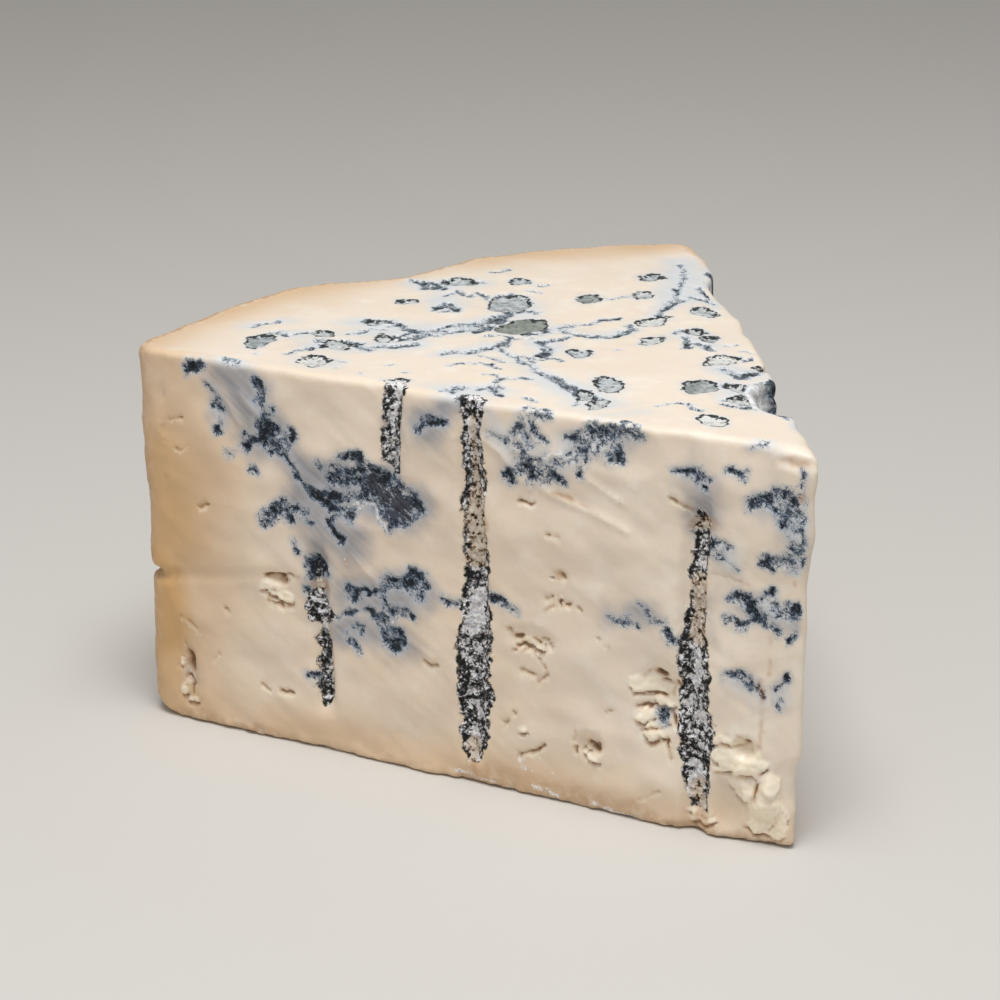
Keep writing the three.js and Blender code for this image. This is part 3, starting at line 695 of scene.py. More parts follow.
FRONT_TEAL = [
    (2.6, [(-9.1, 69.6), (-5.2, 68.3)]),
    (2.0, [(-4.2, 67.0), (-4.1, 62.2)]),
    (1.4, [(-2.6, 74.5), (-2.2, 66.0), (-2.6, 56.0)]),
    (1.6, [(-68.2, 78.5), (-66.6, 75.0), (-63.0, 69.5)]),
    (4.5, [(-63.0, 77.0), (-57.5, 73.5), (-53.0, 71.5)]),
    (3.0, [(-47.0, 79.0), (-42.5, 77.0)]),
    (1.6, [(-7.8, 57.5), (-3.9, 57.8)]),
    (2.6, [(-17.0, 34.0), (-13.5, 31.9), (-11.8, 30.6)]),
    (2.4, [(-6.5, 32.0), (-3.5, 31.5)]),
    (2.0, [(-19.1, 59.0), (-17.2, 57.0)]),
    (1.8, [(-9.9, 49.3), (-5.6, 48.1)]),
]

# Chunks and flakes that stand out where the paste broke: run, z, half the length, half the
# height, and how far the lower end stands out.
FRONT_CHUNKS = [
    (-33.8, 27.8, 3.1, 1.4, 0.9),
    (-31.3, 25.4, 1.9, 1.2, 1),
    (-34.2, 22.1, 2.7, 1.9, 0.9),
    (-32.1, 18.8, 2.9, 1.5, 1),
    (-35.5, 28.9, 1.7, 1.0, 0.6),
    (-15.3, 16.6, 6.4, 3.1, 1.1),
    (-14.6, 10.7, 4.0, 2.9, 1.3),
    (-7.2, 13.0, 3.4, 2.5, 1.2),
    (-8.9, 8.1, 5.2, 3.1, 1.1),
    (-10.0, 3.9, 4.4, 2.1, 0.6),
    (-18.5, 20.2, 2.4, 1.4, 0.5),
    (-7.6, 7.1, 6.0, 6.4, 0.5),
    (-17.4, 16.1, 3.4, 2.7, 0.8),
    (-23.5, 4.6, 1.9, 1.5, 0.6),
    (-22.3, 2.9, 1.9, 1.1, 0.5),
    (-10.6, 4.1, 0.8, 1.9, 0.7),
    (-8.2, 4.7, 1.8, 0.6, 0.8),
    (-6.1, 4.3, 1.8, 0.6, 0.7),
    (-5.2, 5.8, 1.0, 0.6, 0.6),
    (-60.2, 32.4, 2.4, 0.8, 0.5),
    (-57.1, 31.5, 2.6, 0.8, 0.4),
    (-52.0, 42.4, 0.6, 0.4, 0.5),
    (-47.5, 13.1, 0.9, 0.8, 0.6),
    (-46.0, 11.3, 2.1, 0.7, 0.5),
    (-119.3, 33.4, 2.2, 0.9, 0.5),
    (-114.3, 31.9, 1.9, 1.0, 0.45),
    (-117.7, 32.0, 1.7, 0.7, 0.35),
    (-139.8, 13.2, 0.6, 2.3, 0.5),
    (-139.2, 7.2, 1.0, 1.1, 0.5),
    (-137.8, 4.8, 1.0, 0.9, 0.4),
    (-53.9, 47.6, 0.4, 0.5, 0.4),
    (-61.4, 14.6, 0.7, 0.5, 0.4),
]

# Blue mould on the level cut, as strokes through (x, y).
TOP_VEINS = [
    (0.7, [(-134.7, 23.4), (-133.7, 25.5), (-131.7, 28.2)]),
    (0.9, [(-128.3, 20.9), (-127.3, 22.3), (-124.6, 20.4)]),
    (0.45, [(-125.4, 20.0), (-123.0, 22.8), (-121.4, 25.2)]),
    (1, [(-116.9, 20.2), (-114.2, 20.0), (-112.2, 22.6), (-109.3, 22.4)]),
    (1.3, [(-110.6, 20.2), (-108.3, 20.6), (-105.2, 19.0)]),
    (0.6, [(-114.6, 17.5), (-112.1, 18.0), (-111.3, 21.4)]),
    (0.5, [(-117.8, 9.8), (-117.1, 11.7), (-116.2, 12.9), (-114.9, 15.0)]),
    (0.45, [(-114.2, 27.9), (-112.9, 30.1), (-112.9, 33.3), (-109.8, 34.0)]),
    (1.3, [(-116.5, 37.3), (-114.2, 38.4), (-112.0, 39.5)]),
    (1.2, [(-109.6, 37.4), (-107.0, 37.0)]),
    (0.5, [(-105.2, 26.0), (-104.0, 30.5), (-103.2, 34.9), (-100.3, 36.3), (-98.0, 41.5),
           (-94.7, 44.7), (-93.4, 50.2)]),
    (0.45, [(-103.0, 27.1), (-101.5, 31.0), (-98.9, 33.0), (-96.3, 37.5), (-92.2, 41.9), (-91.3, 48.0)]),
    (0.4, [(-103.3, 29.3), (-100.5, 34.2), (-97.7, 38.4)]),
    (0.5, [(-97.3, 40.2), (-93.2, 44.6), (-92.7, 49.8)]),
    (0.4, [(-97.4, 35.3), (-93.0, 39.9), (-90.5, 48.4)]),
    (1.1, [(-105.4, 35.4), (-101.4, 34.2), (-97.5, 33.7)]),
    (0.8, [(-105.9, 21.0), (-103.2, 23.1), (-101.1, 23.4), (-97.6, 26.6)]),
    (1, [(-103.4, 23.0), (-99.8, 24.8)]),
    (0.9, [(-104.7, 30.2), (-101.2, 28.8), (-99.6, 32.7)]),
    (1, [(-122.7, 67.8), (-120.1, 67.2), (-116.0, 63.0), (-114.3, 65.6)]),
    (0.9, [(-118.5, 68.0), (-115.6, 66.7), (-112.7, 64.6)]),
    (1.3, [(-115.0, 69.7), (-111.9, 70.3), (-108.8, 72.7)]),
    (0.9, [(-109.9, 60.8), (-108.5, 63.2), (-105.1, 62.2)]),
    (0.7, [(-104.7, 65.0), (-102.4, 63.5), (-100.2, 62.0)]),
    (1, [(-106.3, 50.5), (-107.1, 55.3), (-102.4, 51.6)]),
    (0.9, [(-104.1, 49.9), (-102.1, 51.0)]),
    (0.9, [(-109.7, 81.4), (-107.8, 84.2)]),
    (1, [(-90.0, 23.5), (-88.3, 25.1), (-85.3, 26.6)]),
    (0.45, [(-85.3, 26.6), (-84.1, 29.5), (-82.6, 31.7), (-82.7, 34.8), (-83.7, 38.9)]),
    (0.4, [(-85.2, 17.0), (-84.3, 18.1), (-84.2, 19.6), (-82.8, 19.6)]),
    (0.4, [(-80.8, 19.9), (-79.7, 21.1), (-78.0, 20.5), (-75.4, 18.9)]),
    (0.4, [(-82.6, 24.9), (-80.5, 25.2), (-78.5, 23.9), (-76.6, 23.4)]),
    (0.4, [(-75.3, 14.6), (-73.1, 15.0), (-70.3, 14.2), (-69.1, 16.2), (-66.7, 16.6)]),
    (0.45, [(-71.5, 13.6), (-70.8, 10.4), (-68.7, 7.2)]),
    (0.8, [(-102.8, 77.5), (-100.8, 77.5), (-98.9, 77.6)]),
    (0.6, [(-95.9, 76.4), (-94.7, 77.9)]),
    (0.5, [(-95.6, 72.1), (-93.9, 72.1)]),
    (0.9, [(-99.9, 64.8), (-98.9, 67.0), (-95.9, 66.7), (-91.7, 63.6)]),
    (0.9, [(-91.8, 53.5), (-91.0, 56.4), (-90.2, 58.4), (-87.8, 57.9)]),
    (1.2, [(-92.4, 46.6), (-92.3, 51.6), (-91.8, 55.2)]),
    (1.3, [(-91.2, 40.0), (-90.6, 45.1), (-91.2, 51.3)]),
    (0.8, [(-82.4, 43.5), (-79.9, 44.8), (-78.7, 46.9), (-82.0, 50.1)]),
    (0.5, [(-88.0, 37.6), (-85.8, 39.5), (-82.6, 39.5), (-80.4, 41.3)]),
    (0.7, [(-84.0, 39.6), (-82.8, 36.3), (-81.0, 33.3)]),
    (0.5, [(-85.0, 25.2), (-83.8, 28.9), (-82.6, 31.7)]),
    (0.5, [(-82.6, 31.7), (-79.4, 29.5), (-76.6, 27.9)]),
    (0.6, [(-76.6, 27.9), (-71.3, 24.5), (-67.8, 21.2)]),
    (0.7, [(-67.8, 21.2), (-63.2, 19.1), (-59.5, 16.0)]),
    (1.2, [(-62.3, 18.1), (-59.8, 16.5), (-56.2, 14.1)]),
    (0.5, [(-77.2, 28.3), (-75.1, 29.4), (-73.1, 28.9), (-71.5, 29.6)]),
    (0.4, [(-74.4, 28.9), (-71.5, 26.7), (-71.0, 24.0)]),
    (1.2, [(-77.0, 39.9), (-74.3, 37.4), (-72.3, 32.2)]),
    (0.8, [(-76.2, 41.1), (-74.5, 42.7), (-73.8, 45.4)]),
    (0.5, [(-72.0, 31.6), (-69.5, 30.6), (-67.2, 30.3)]),
    (0.8, [(-77.1, 50.1), (-75.8, 54.8), (-73.6, 55.9), (-72.3, 58.9), (-69.7, 61.1)]),
    (0.9, [(-77.1, 50.1), (-74.7, 48.9), (-72.3, 47.7), (-67.7, 47.6), (-64.8, 49.8), (-63.4, 54.5)]),
    (0.9, [(-66.0, 58.0), (-63.3, 55.3), (-64.9, 52.9)]),
    (0.8, [(-62.9, 66.0), (-63.7, 70.6), (-64.2, 73.7)]),
    (1.1, [(-64.2, 73.7), (-64.3, 77.1), (-63.8, 79.0)]),
    (0.6, [(-64.4, 78.7), (-67.2, 84.3), (-68.9, 89.6)]),
    (0.45, [(-69.3, 91.2), (-71.9, 98.9), (-75.7, 106.3)]),
    (1.1, [(-64.2, 90.1), (-61.7, 87.8), (-58.3, 84.3)]),
    (0.6, [(-62.5, 82.2), (-59.6, 81.9), (-56.4, 80.9)]),
    (0.5, [(-77.4, 73.2), (-76.2, 75.5), (-75.0, 77.0)]),
    (0.6, [(-54.5, 56.5), (-53.9, 59.1), (-51.9, 57.7), (-51.9, 61.7), (-49.3, 59.8)]),
    (0.9, [(-51.5, 54.8), (-49.7, 51.8), (-48.6, 48.5)]),
    (0.9, [(-46.8, 51.7), (-45.6, 51.5), (-43.6, 49.4)]),
    (0.4, [(-37.6, 13.0), (-35.7, 15.3), (-33.1, 15.9), (-30.9, 13.7), (-29.3, 13.2)]),
    (0.9, [(-36.2, 38.2), (-34.0, 37.1), (-31.4, 35.5)]),
    (1.3, [(-30.8, 35.1), (-30.4, 38.9), (-29.6, 42.2)]),
    (0.8, [(-31.5, 29.1), (-29.3, 28.8), (-27.0, 27.1)]),
    (0.5, [(-28.8, 21.4), (-26.7, 22.5), (-23.9, 21.8), (-21.4, 19.7)]),
    (0.5, [(-27.9, 19.2), (-24.6, 18.8), (-21.7, 19.5), (-17.8, 18.8), (-13.5, 17.0)]),
    (0.4, [(-42.4, 53.1), (-40.6, 54.7)]),
    (0.4, [(-38.1, 52.1), (-36.4, 52.2), (-34.0, 50.4)]),
    (0.5, [(-36.8, 47.5), (-34.8, 46.3), (-34.0, 47.4)]),
    (0.5, [(-55.8, 12.9), (-53.2, 9.3), (-52.7, 6.2)]),
    (0.5, [(-53.6, 12.6), (-51.4, 11.6), (-48.7, 9.5), (-47.3, 8.2)]),
    (0.5, [(-49.9, 7.6), (-50.1, 11.6), (-52.6, 13.1)]),
    (0.35, [(-104.5, 5.9), (-104.2, 5.7)]),
    (0.35, [(-97.6, 4.2), (-97.3, 4.1)]),
    (0.35, [(-105.5, 9.9), (-104.8, 10.2)]),
    (0.35, [(-96.2, 12.2), (-95.9, 12.4)]),
    (0.35, [(-91.3, 9.5), (-90.9, 9.5)]),
    (0.35, [(-123.5, 7.0), (-123.2, 7.2)]),
    (0.35, [(-60.4, 41.2), (-60.1, 41.1)]),
    (0.7, [(-77.2, 1.6), (-77.3, 5.1), (-75.6, 5.2)]),
    (0.6, [(-72.7, 6.6), (-71.8, 8.5), (-69.1, 7.0), (-66.6, 4.8)]),
    (0.5, [(-79.0, 0.7), (-78.2, 3.2)]),
    (0.5, [(-62.4, 6.2), (-60.2, 5.2)]),
]

# Needle holes, small eyes and larger filled gaps on the level cut, each lined with dark mould: x,
# y, half the length, half the width, the turn of the long way in degrees, and how white its inside
# is, from -1 for olive over 0 for grey to 1 for white.
TOP_EYES = [
    (-127.7, 14.7, 5.2, 2.8, -79, -0.1),
    (-119.0, 25.5, 2.5, 2.1, -44, 0.3),
    (-110.3, 7.8, 4.0, 3.0, -63, 0.9),
    (-112.4, 19.4, 3.7, 2.6, 0, 0.45),
    (-106.4, 28.2, 2.8, 1.7, -50, 0.5),
    (-115.4, 53.3, 2.7, 1.8, -11, 0.35),
    (-114.1, 38.0, 2.7, 2.3, 14, 0.1),
    (-111.7, 70.9, 3.7, 2.9, 22, 0.2),
    (-95.1, 61.1, 6.3, 4.3, -75, 0.15),
    (-85.1, 47.8, 6.2, 3.9, 75, -0.6),
    (-100.8, 77.5, 2.2, 2.1, 7, 0.1),
    (-77.0, 92.8, 2.7, 2.6, 38, 0.1),
    (-82.1, 72.2, 3.2, 2.5, -64, -0.4),
    (-72.4, 79.1, 2.8, 1.8, -81, 0.4),
    (-57.3, 73.7, 2.7, 1.7, -67, 0.4),
    (-54.7, 73.4, 2.5, 1.4, -67, 0.3),
    (-62.6, 62.5, 3.7, 2.6, 76, 0.8),
    (-56.5, 49.2, 3.3, 2.1, 84, 0.6),
    (-51.5, 59.1, 2.6, 1.8, -78, 0.5),
    (-46.7, 56.4, 2.8, 2.0, -69, 0.2),
    (-39.2, 43.3, 4.2, 2.4, 83, 0.95),
    (-35.9, 26.2, 4.5, 3.1, -78, -0.3),
    (-25.4, 8.8, 3.4, 2.4, -38, 1),
    (-66.3, 35.9, 3.0, 2.4, -63, 0.1),
    (-52.1, 20.0, 4.7, 2.7, -50, 0.2),
    (-53.2, 12.1, 2.8, 1.7, -64, 0.4),
    (-48.5, 8.3, 2.7, 1.7, -64, 0.5),
    (-89.6, 3.5, 2.0, 1.6, 19, 0.8),
    (-25.6, 22.4, 3.0, 1.9, -17, 0.5),
    (-29.5, 28.7, 2.2, 1.5, -41, 0.4),
]

# The pale blue breath of young mould round the veins and eyes of the level cut.
TOP_HAZE = [
    (3, [(-135.3, 23.1), (-131.3, 28.3)]),
    (4, [(-113.5, 7.4), (-106.8, 7.8)]),
    (4, [(-128.1, 19.5), (-119.3, 24.6)]),
    (5, [(-115.3, 17.9), (-105.2, 20.6), (-97.3, 26.8)]),
    (5, [(-116.5, 35.6), (-106.9, 35.5), (-97.0, 38.7), (-91.2, 49.7)]),
    (4, [(-114.6, 28.5), (-108.9, 32.9)]),
    (4, [(-121.3, 65.8), (-114.3, 65.6), (-108.1, 72.2)]),
    (4, [(-109.7, 57.4), (-103.7, 53.5)]),
    (3, [(-90.7, 23.2), (-84.8, 26.9)]),
    (5, [(-79.9, 3.8), (-68.4, 6.7)]),
    (4, [(-97.3, 63.4), (-90.8, 62.4), (-85.8, 48.2), (-79.6, 47.3)]),
    (3, [(-83.7, 31.2), (-71.0, 24.0), (-60.5, 16.2)]),
    (5, [(-61.7, 17.0), (-51.5, 10.9), (-47.1, 10.4)]),
    (4, [(-77.3, 40.5), (-72.4, 33.7)]),
    (3, [(-77.5, 49.9), (-67.7, 48.4), (-63.4, 54.5)]),
    (3, [(-64.7, 61.1), (-63.9, 73.0), (-64.1, 79.7)]),
    (6, [(-64.1, 79.7), (-76.4, 107.9)]),
    (6, [(-63.5, 88.7), (-56.7, 81.6)]),
    (4, [(-52.7, 57.4), (-49.0, 56.0), (-44.6, 52.0)]),
    (5, [(-35.3, 37.2), (-28.7, 39.0)]),
    (4, [(-31.5, 29.1), (-23.4, 20.7)]),
    (3, [(-54.7, 21.9), (-48.6, 17.9)]),
    (3, [(-39.5, 7.4), (-45.3, 2.5)]),
]


# Strokes for the other cut, whose veins and cracks go on in the way of the front one: bands of
# threads that branch from wandering middle lines. Lengths are in millimetres, turns in radians.
FIRST_TURN = 0.7
NEXT_TURN = 0.55
SHORTEST = 1.6
LONGEST = 4.2


def wandering_strokes(seed, thinnest, widest, bands):
    draw = np.random.default_rng(seed)
    strokes = []
    for start, way, count, spread in bands:
        for _ in range(count):
            share = draw.uniform(0.0, 1.0)
            x = start[0] + share * way[0] + draw.normal(0.0, spread)
            z = start[1] + share * way[1] + draw.normal(0.0, spread)
            heading = math.atan2(way[1], way[0]) + draw.normal(0.0, FIRST_TURN)
            places = [(x, z)]
            for _ in range(draw.integers(2, 5)):
                heading += draw.normal(0.0, NEXT_TURN)
                length = draw.uniform(SHORTEST, LONGEST)
                x += length * math.cos(heading)
                z += length * math.sin(heading)
                places.append((x, z))
            strokes.append((draw.uniform(thinnest, widest), places))
    return strokes


RIGHT_VEINS = wandering_strokes(11, 0.5, 1.7, [
    ((5.0, 62.0), (14.0, -8.0), 9, 3.0),
    ((24.0, 66.0), (26.0, 10.0), 16, 3.5),
    ((60.0, 60.0), (34.0, -22.0), 22, 4.0),
    ((104.0, 58.0), (14.0, 16.0), 12, 4.0),
    ((30.0, 34.0), (22.0, -8.0), 8, 3.0),
])
RIGHT_CRACKS = wandering_strokes(23, 0.25, 0.6, [
    ((16.0, 18.0), (24.0, 6.0), 6, 5.0),
    ((62.0, 22.0), (30.0, 10.0), 7, 6.0),
    ((110.0, 40.0), (20.0, -14.0), 5, 6.0),
])
CRACKS = FRONT_CRACKS + RIGHT_CRACKS


# How far outside the nearest eye of the level cut each place lies, in millimetres, below zero
# inside, and how white that eye's inside is.
def outside_eyes(x, y):
    outside = np.full(x.shape, FAR)
    white = np.zeros(x.shape)
    for eye_x, eye_y, length, width, turn, whiteness in TOP_EYES:
        cos, sin = math.cos(math.radians(turn)), math.sin(math.radians(turn))
        along = (x - eye_x) * cos + (y - eye_y) * sin
        across = (y - eye_y) * cos - (x - eye_x) * sin
        gap = (np.hypot(along / length, across / width) - 1.0) * (length + width) / 2.0
        white = np.where(gap < outside, whiteness, white)
        outside = np.minimum(outside, gap)
    return outside, white


# How far the chunks stand out at each place, and how far inside a chunk it is, from 0 to 1.
def chunks(run, z):
    bent_run = run + 1.3 * mottle(run, z, 3.6, 14) + 0.5 * mottle(run, z, 1.3, 53)
    bent_z = z + 1.3 * mottle(run, z, 3.6, 52) + 0.5 * mottle(run, z, 1.3, 54)
    stands_out = np.zeros(run.shape)
    covered = np.zeros(run.shape)
    for middle, level, reach, rise, lift in FRONT_CHUNKS:
        inside = 1.0 - np.hypot((bent_run - middle) / reach, (bent_z - level) / rise)
        cover = smoothstep(inside, 0.0, 0.12)
        lean = 0.55 - 0.45 * np.clip((bent_z - level) / rise, -1.0, 1.0)
        within = np.clip(inside, 0.0, 1.0)
        dome = np.sqrt(within * (2.0 - within))
        stands_out = np.maximum(stands_out, lift * lean * dome * cover)
        covered = np.maximum(covered, cover)
    return stands_out, covered


# Where the rind of the foot is scraped up over the front cut.
SCRAPED_RUN = 54.0
SCRAPED_REACH = 24.0

# A painted amber glow, as of light through the paste, below the crease at the corner by the rind.
GLOW_RUN = 148.0
GLOW_Z = 25.0
GLOW_REACH = 12.0
GLOW_RISE = 14.0

# How far from the tip the paste starts to be riper, and where it is ripest.
RIPE_FROM = 116.0
RIPEST_AT = 148.0

# A mark is how many millimetres a place lies inside its strokes, or a share from 0 to 1. Blank is
# what each mark says where it has nothing to show.
FAR_OUT = -3.0
NO_EYE = 3.0
BLANK = {"vein": FAR_OUT, "haze": 0.0, "track": FAR_OUT, "down_and_glint": FAR_OUT, "brown_and_shade": 0.0, "slate": FAR_OUT,
         "teal": 0.0, "crack_and_shade": FAR_OUT, "torn_or_lip_highlight": 0.0, "pocket": 0.0, "eye": NO_EYE, "white": 0.0,
         "ripe_shade_and_glow": 0.0, "rind": 0.0, "level": 0.0}
DEEPEST_VEIN = 0.65

# From this run on, the other cut has marks of its own.
OTHER_CUT_START = 3.0


# What the mould and the breaks do at places of the wall. All but the ridges go on the mesh, for
# the paste's material.
def wall_marks(s, z, run, rind):
    bent_run = run + 0.7 * mottle(s, z, 3.1, 1) + 0.4 * mottle(s, z, 1.3, 2)
    bent_z = z + 0.7 * mottle(s, z, 3.1, 3) + 0.4 * mottle(s, z, 1.3, 4)
    front = s < 0.0
    near_front = front | (s > RIND_STOP)
    on_cut = s < RIGHT_END
    vein = np.minimum(1.3 * inside_strokes(bent_run, bent_z, FRONT_VEINS), DEEPEST_VEIN)
    vein += 0.5 * mottle(s, z, 2.2, 51) - 0.05
    hidden = s > OTHER_CUT_START
    vein[hidden] = inside_strokes(bent_run[hidden], bent_z[hidden], RIGHT_VEINS)
    haze_side = 2.0 * mottle(s, z, 7.0, 5)
    haze = inside_strokes(bent_run, bent_z, FRONT_HAZE) + haze_side
    haze[hidden] = vein[hidden] + 3.0 + haze_side[hidden]
    haze = smoothstep(haze, -2.5, 4.0)
    ragged = 0.5 * mottle(s, z, 2.3, 6) + 0.4 * mottle(s, z, 1.1, 7)
    track = inside_tracks(run, z, ragged)
    bent_z = z + 0.4 * mottle(s, z, 2.6, 3) + 0.2 * mottle(s, z, 0.9, 4)
    down_and_glint = inside_strokes(bent_run, bent_z, FRONT_DOWN_AND_GLINT)
    brown_and_shade = inside_strokes(bent_run, bent_z, FRONT_BROWN_AND_SHADE)
    slate = inside_strokes(bent_run, bent_z, FRONT_SLATE)
    teal = inside_strokes(bent_run, bent_z, FRONT_TEAL)
    pinch = 0.2 + 0.22 * mottle(s, z, 2.3, 8) + 0.14 * mottle(s, z, 1.0, 64)
    crack_and_shade = np.where(on_cut, inside_strokes(run, bent_z, CRACKS) - pinch, FAR_OUT)
    ridge = np.where(front, inside_strokes(run, z, FRONT_RIDGES), FAR_OUT)
    covered = chunks(run, z)[1]
    torn_or_lip_highlight = covered * front
    # Painted shadow: the band just below the lower rim of each chunk joins the crack mark, which sinks it
    # a little and paints it amber and brown.
    crevice_shade_under_chunks = smoothstep(chunks(run, z + 0.7)[1] - covered, 0.3, 0.9) * front
    # A painted highlight: a pale band on the paste just below each crack, where a lip would catch the
    # light from above.
    above = inside_strokes(run, bent_z + 0.8, CRACKS) - pinch
    lip_highlight = smoothstep(above, -0.35, 0.15) * (1.0 - smoothstep(crack_and_shade, -0.45, -0.05)) * on_cut
    torn_or_lip_highlight = np.maximum(torn_or_lip_highlight, 0.7 * lip_highlight)
    crack_and_shade = np.maximum(crack_and_shade, crevice_shade_under_chunks - 0.75)
    off_rind = 1.0 - smoothstep(rind, 0.0, 0.25)
    foot_edge = z + 1.4 * mottle(s, z, 16.0, 63) + 1.4 * mottle(s, z, 6.0, 9) + 0.9 * mottle(s, z, 1.9, 56)
    scraped = 3.5 * dish(run + SCRAPED_RUN, 0.0, SCRAPED_REACH, 1.0) * front
    foot = 1.0 - smoothstep(foot_edge - scraped, 0.3, 3.0)
    from_pocket = np.hypot((run - POCKET_RUN) / POCKET_REACH, (z - HEIGHT) / POCKET_RISE) - 1.0
    from_pocket = POCKET_REACH * from_pocket + 0.6 * mottle(s, z, 2.4, 59)
    vein = np.maximum(vein, 1.2 - 1.3 * np.abs(from_pocket - 0.3))
    wavy = 5.0 * mottle(np.where(near_front, run, s), z, 14.0, 20)
    ripe_shade_and_glow = 0.75 * smoothstep(np.abs(run) + wavy, RIPE_FROM, RIPEST_AT)
    ripe_shade_and_glow *= 1.0 - 0.4 * smoothstep(z, 58.0, 74.0) * near_front
    ripe_shade_and_glow = np.maximum(ripe_shade_and_glow, 0.4 * (1.0 - smoothstep(z + 0.5 * wavy, 1.0, 13.0)))
    # Painted shade: the front cut goes amber and darker away from the tip, less so near its top.
    ripe_shade_and_glow += 0.17 * smoothstep(-run, 20.0, 80.0) * (1.0 - 0.4 * smoothstep(z, 50.0, 72.0)) * near_front
    # The painted glow at the corner below the crease.
    ripe_shade_and_glow += 0.5 * dish(run + GLOW_RUN, z - GLOW_Z, GLOW_REACH, GLOW_RISE) * near_front
    return {
        "vein": np.clip(lerp(FAR_OUT, vein, off_rind), FAR_OUT, 2.0),
        "haze": haze * off_rind,
        "track": np.clip(lerp(FAR_OUT, track, off_rind), FAR_OUT, 3.0),
        "down_and_glint": np.clip(np.where(front, down_and_glint, FAR_OUT), FAR_OUT, 2.0),
        "brown_and_shade": smoothstep(np.where(front, brown_and_shade, FAR_OUT), -0.2, 0.7),
        "slate": np.clip(np.where(front, slate, FAR_OUT), FAR_OUT, 2.0),
        "teal": smoothstep(np.where(front, teal, FAR_OUT), -0.8, 0.8),
        "crack_and_shade": np.clip(crack_and_shade, FAR_OUT, 1.0),
        "ridge": np.clip(ridge, FAR_OUT, 1.0),
        "torn_or_lip_highlight": torn_or_lip_highlight * off_rind,
        "pocket": 1.0 - smoothstep(from_pocket, -1.2, -0.5),
        "rind": np.maximum(smoothstep(rind, 0.1, 0.75), 0.55 * foot),
        "ripe_shade_and_glow": ripe_shade_and_glow * (1.0 - smoothstep(rind, 0.4, 1.0)),
        "level": smoothstep(z, HEIGHT - 2.0, HEIGHT - 0.2) * off_rind,
    }


# Depths and heights of the finer relief, and the slopes of the drags that the knife and the wire
# left on the front cut and on the level one.
MOULD_DEPTH = 0.3
TOP_MOULD_DEPTH = 0.25
EYE_DEPTH = 0.4
CRACK_DEPTH = 0.8
RIDGE_HEIGHT = 0.35
KNIFE_COS = 0.82
KNIFE_SIN = 0.57
WIRE_COS = 0.96
WIRE_SIN = 0.28


# The finer relief of the wall that the marks go with, in millimetres into the body.
def wall_fine_relief(s, z, run, rind, marks):
    depth = 0.05 * mottle(s, z, 2.6, 11) + 0.03 * mottle(s, z, 1.1, 12)
    mould = smoothstep(marks["vein"], -0.2, 0.7)
    depth += mould * (MOULD_DEPTH + MOULD_DEPTH * mottle(s, z, 0.9, 13))
    inside, height = lumps(s, z, 1.15, 1)
    track = smoothstep(marks["track"], 0.0, 0.5)
    depth += track * (0.35 - 0.5 * inside + 0.3 * height)
    depth += CRACK_DEPTH * smoothstep(marks["crack_and_shade"], -0.25, 0.35)
    depth -= RIDGE_HEIGHT * smoothstep(marks["ridge"], -0.8, 0.5)
    inside, height = lumps(s + 0.6 * mottle(s, z, 1.7, 60), 1.3 * z, 2.1, 4)
    crumbled = marks["torn_or_lip_highlight"] * (0.22 * (1.0 - inside) - 0.14 * height)
    depth += crumbled - np.where(s < 0.0, chunks(run, z)[0], 0.0)
    drag = run * KNIFE_COS - z * KNIFE_SIN
    across = run * KNIFE_SIN + z * KNIFE_COS
    dragged = 0.09 * mottle(drag / 9.0, across, 1.3, 15) * smoothstep(mottle(s, z, 16.0, 10), -0.3, 0.3)
    soft = 0.42 * mottle(s / 1.5, z, 8.0, 57) + 0.2 * mottle(s / 1.4, z, 3.6, 58)
    depth += (dragged + soft) * (1.0 - rind)
    depth += marks["pocket"] * 0.5 * mottle(s, z, 1.8, 16)
    crust = 0.5 * mottle(s, z, 6.0, 17) + 0.28 * mottle(s, z, 2.4, 18) + 0.12 * mottle(s, z, 1.2, 19)
    depth += rind * crust
    low = 1.0 - smoothstep(z, 0.0, 4.0)
    inside, height = lumps(s, z * 1.4, 2.2, 3)
    depth += low * (1.0 - rind) * (0.3 * height - 0.3 * inside)
    return depth


# How far an edge rounded to a radius draws the wall in, at a distance from the edge.
def rounding_inset(radius, distance):
    left = np.maximum(0.0, radius - distance)
    return radius - np.sqrt(radius * radius - left * left)


CUT_TOP_RADIUS = 1.2
CUT_FOOT_RADIUS = 1.6
TIP_TOP_RADIUS = 3.0
TIP_FOOT_RADIUS = 2.0
TIP_EDGE_REACH = 20.0
TIP_MITRE_REACH = 13.0
RIND_TOP_RADIUS = 2.8
RIND_FOOT_RADIUS = 8.0


# Where the places of the wall lie in the round, and their marks.
def wall_places(s, z):
    place, outward, run, turn, rind = outline(s)
    marks = wall_marks(s, z, run, rind)
    tip_share = (1.0 - rind) * (1.0 - smoothstep(np.abs(run), 0.0, TIP_EDGE_REACH))
    foot_radius = lerp(lerp(CUT_FOOT_RADIUS, TIP_FOOT_RADIUS, tip_share), RIND_FOOT_RADIUS, rind)
    top_radius = lerp(lerp(CUT_TOP_RADIUS, TIP_TOP_RADIUS, tip_share), RIND_TOP_RADIUS, rind)
    inset = rounding_inset(foot_radius, z) + rounding_inset(top_radius, HEIGHT - z)
    inset += (1.0 - rind) * tip_wear(run, z)
    depth = lerp(cut_relief(run, z), rind_relief(turn, z), rind)
    depth += wall_fine_relief(s, z, run, rind, marks)

    # Near the tip an inset shortens the wedge, and relief points back along it.
    at_tip = np.where(rind == 0.0, 1.0 - smoothstep(np.abs(run), 1.0, TIP_MITRE_REACH), 0.0)[:, None]
    inset_way = lerp(-outward, TIP_MITRE, at_tip)
    relief_way = lerp(-outward, INWARD_AT_TIP, at_tip)
    spot = place + inset_way * inset[:, None] + relief_way * depth[:, None]
    lift = top_relief(spot[:, 0], spot[:, 1]) * smoothstep(z, HEIGHT - 12.0, HEIGHT)
    return np.column_stack([spot, z + lift]), marks


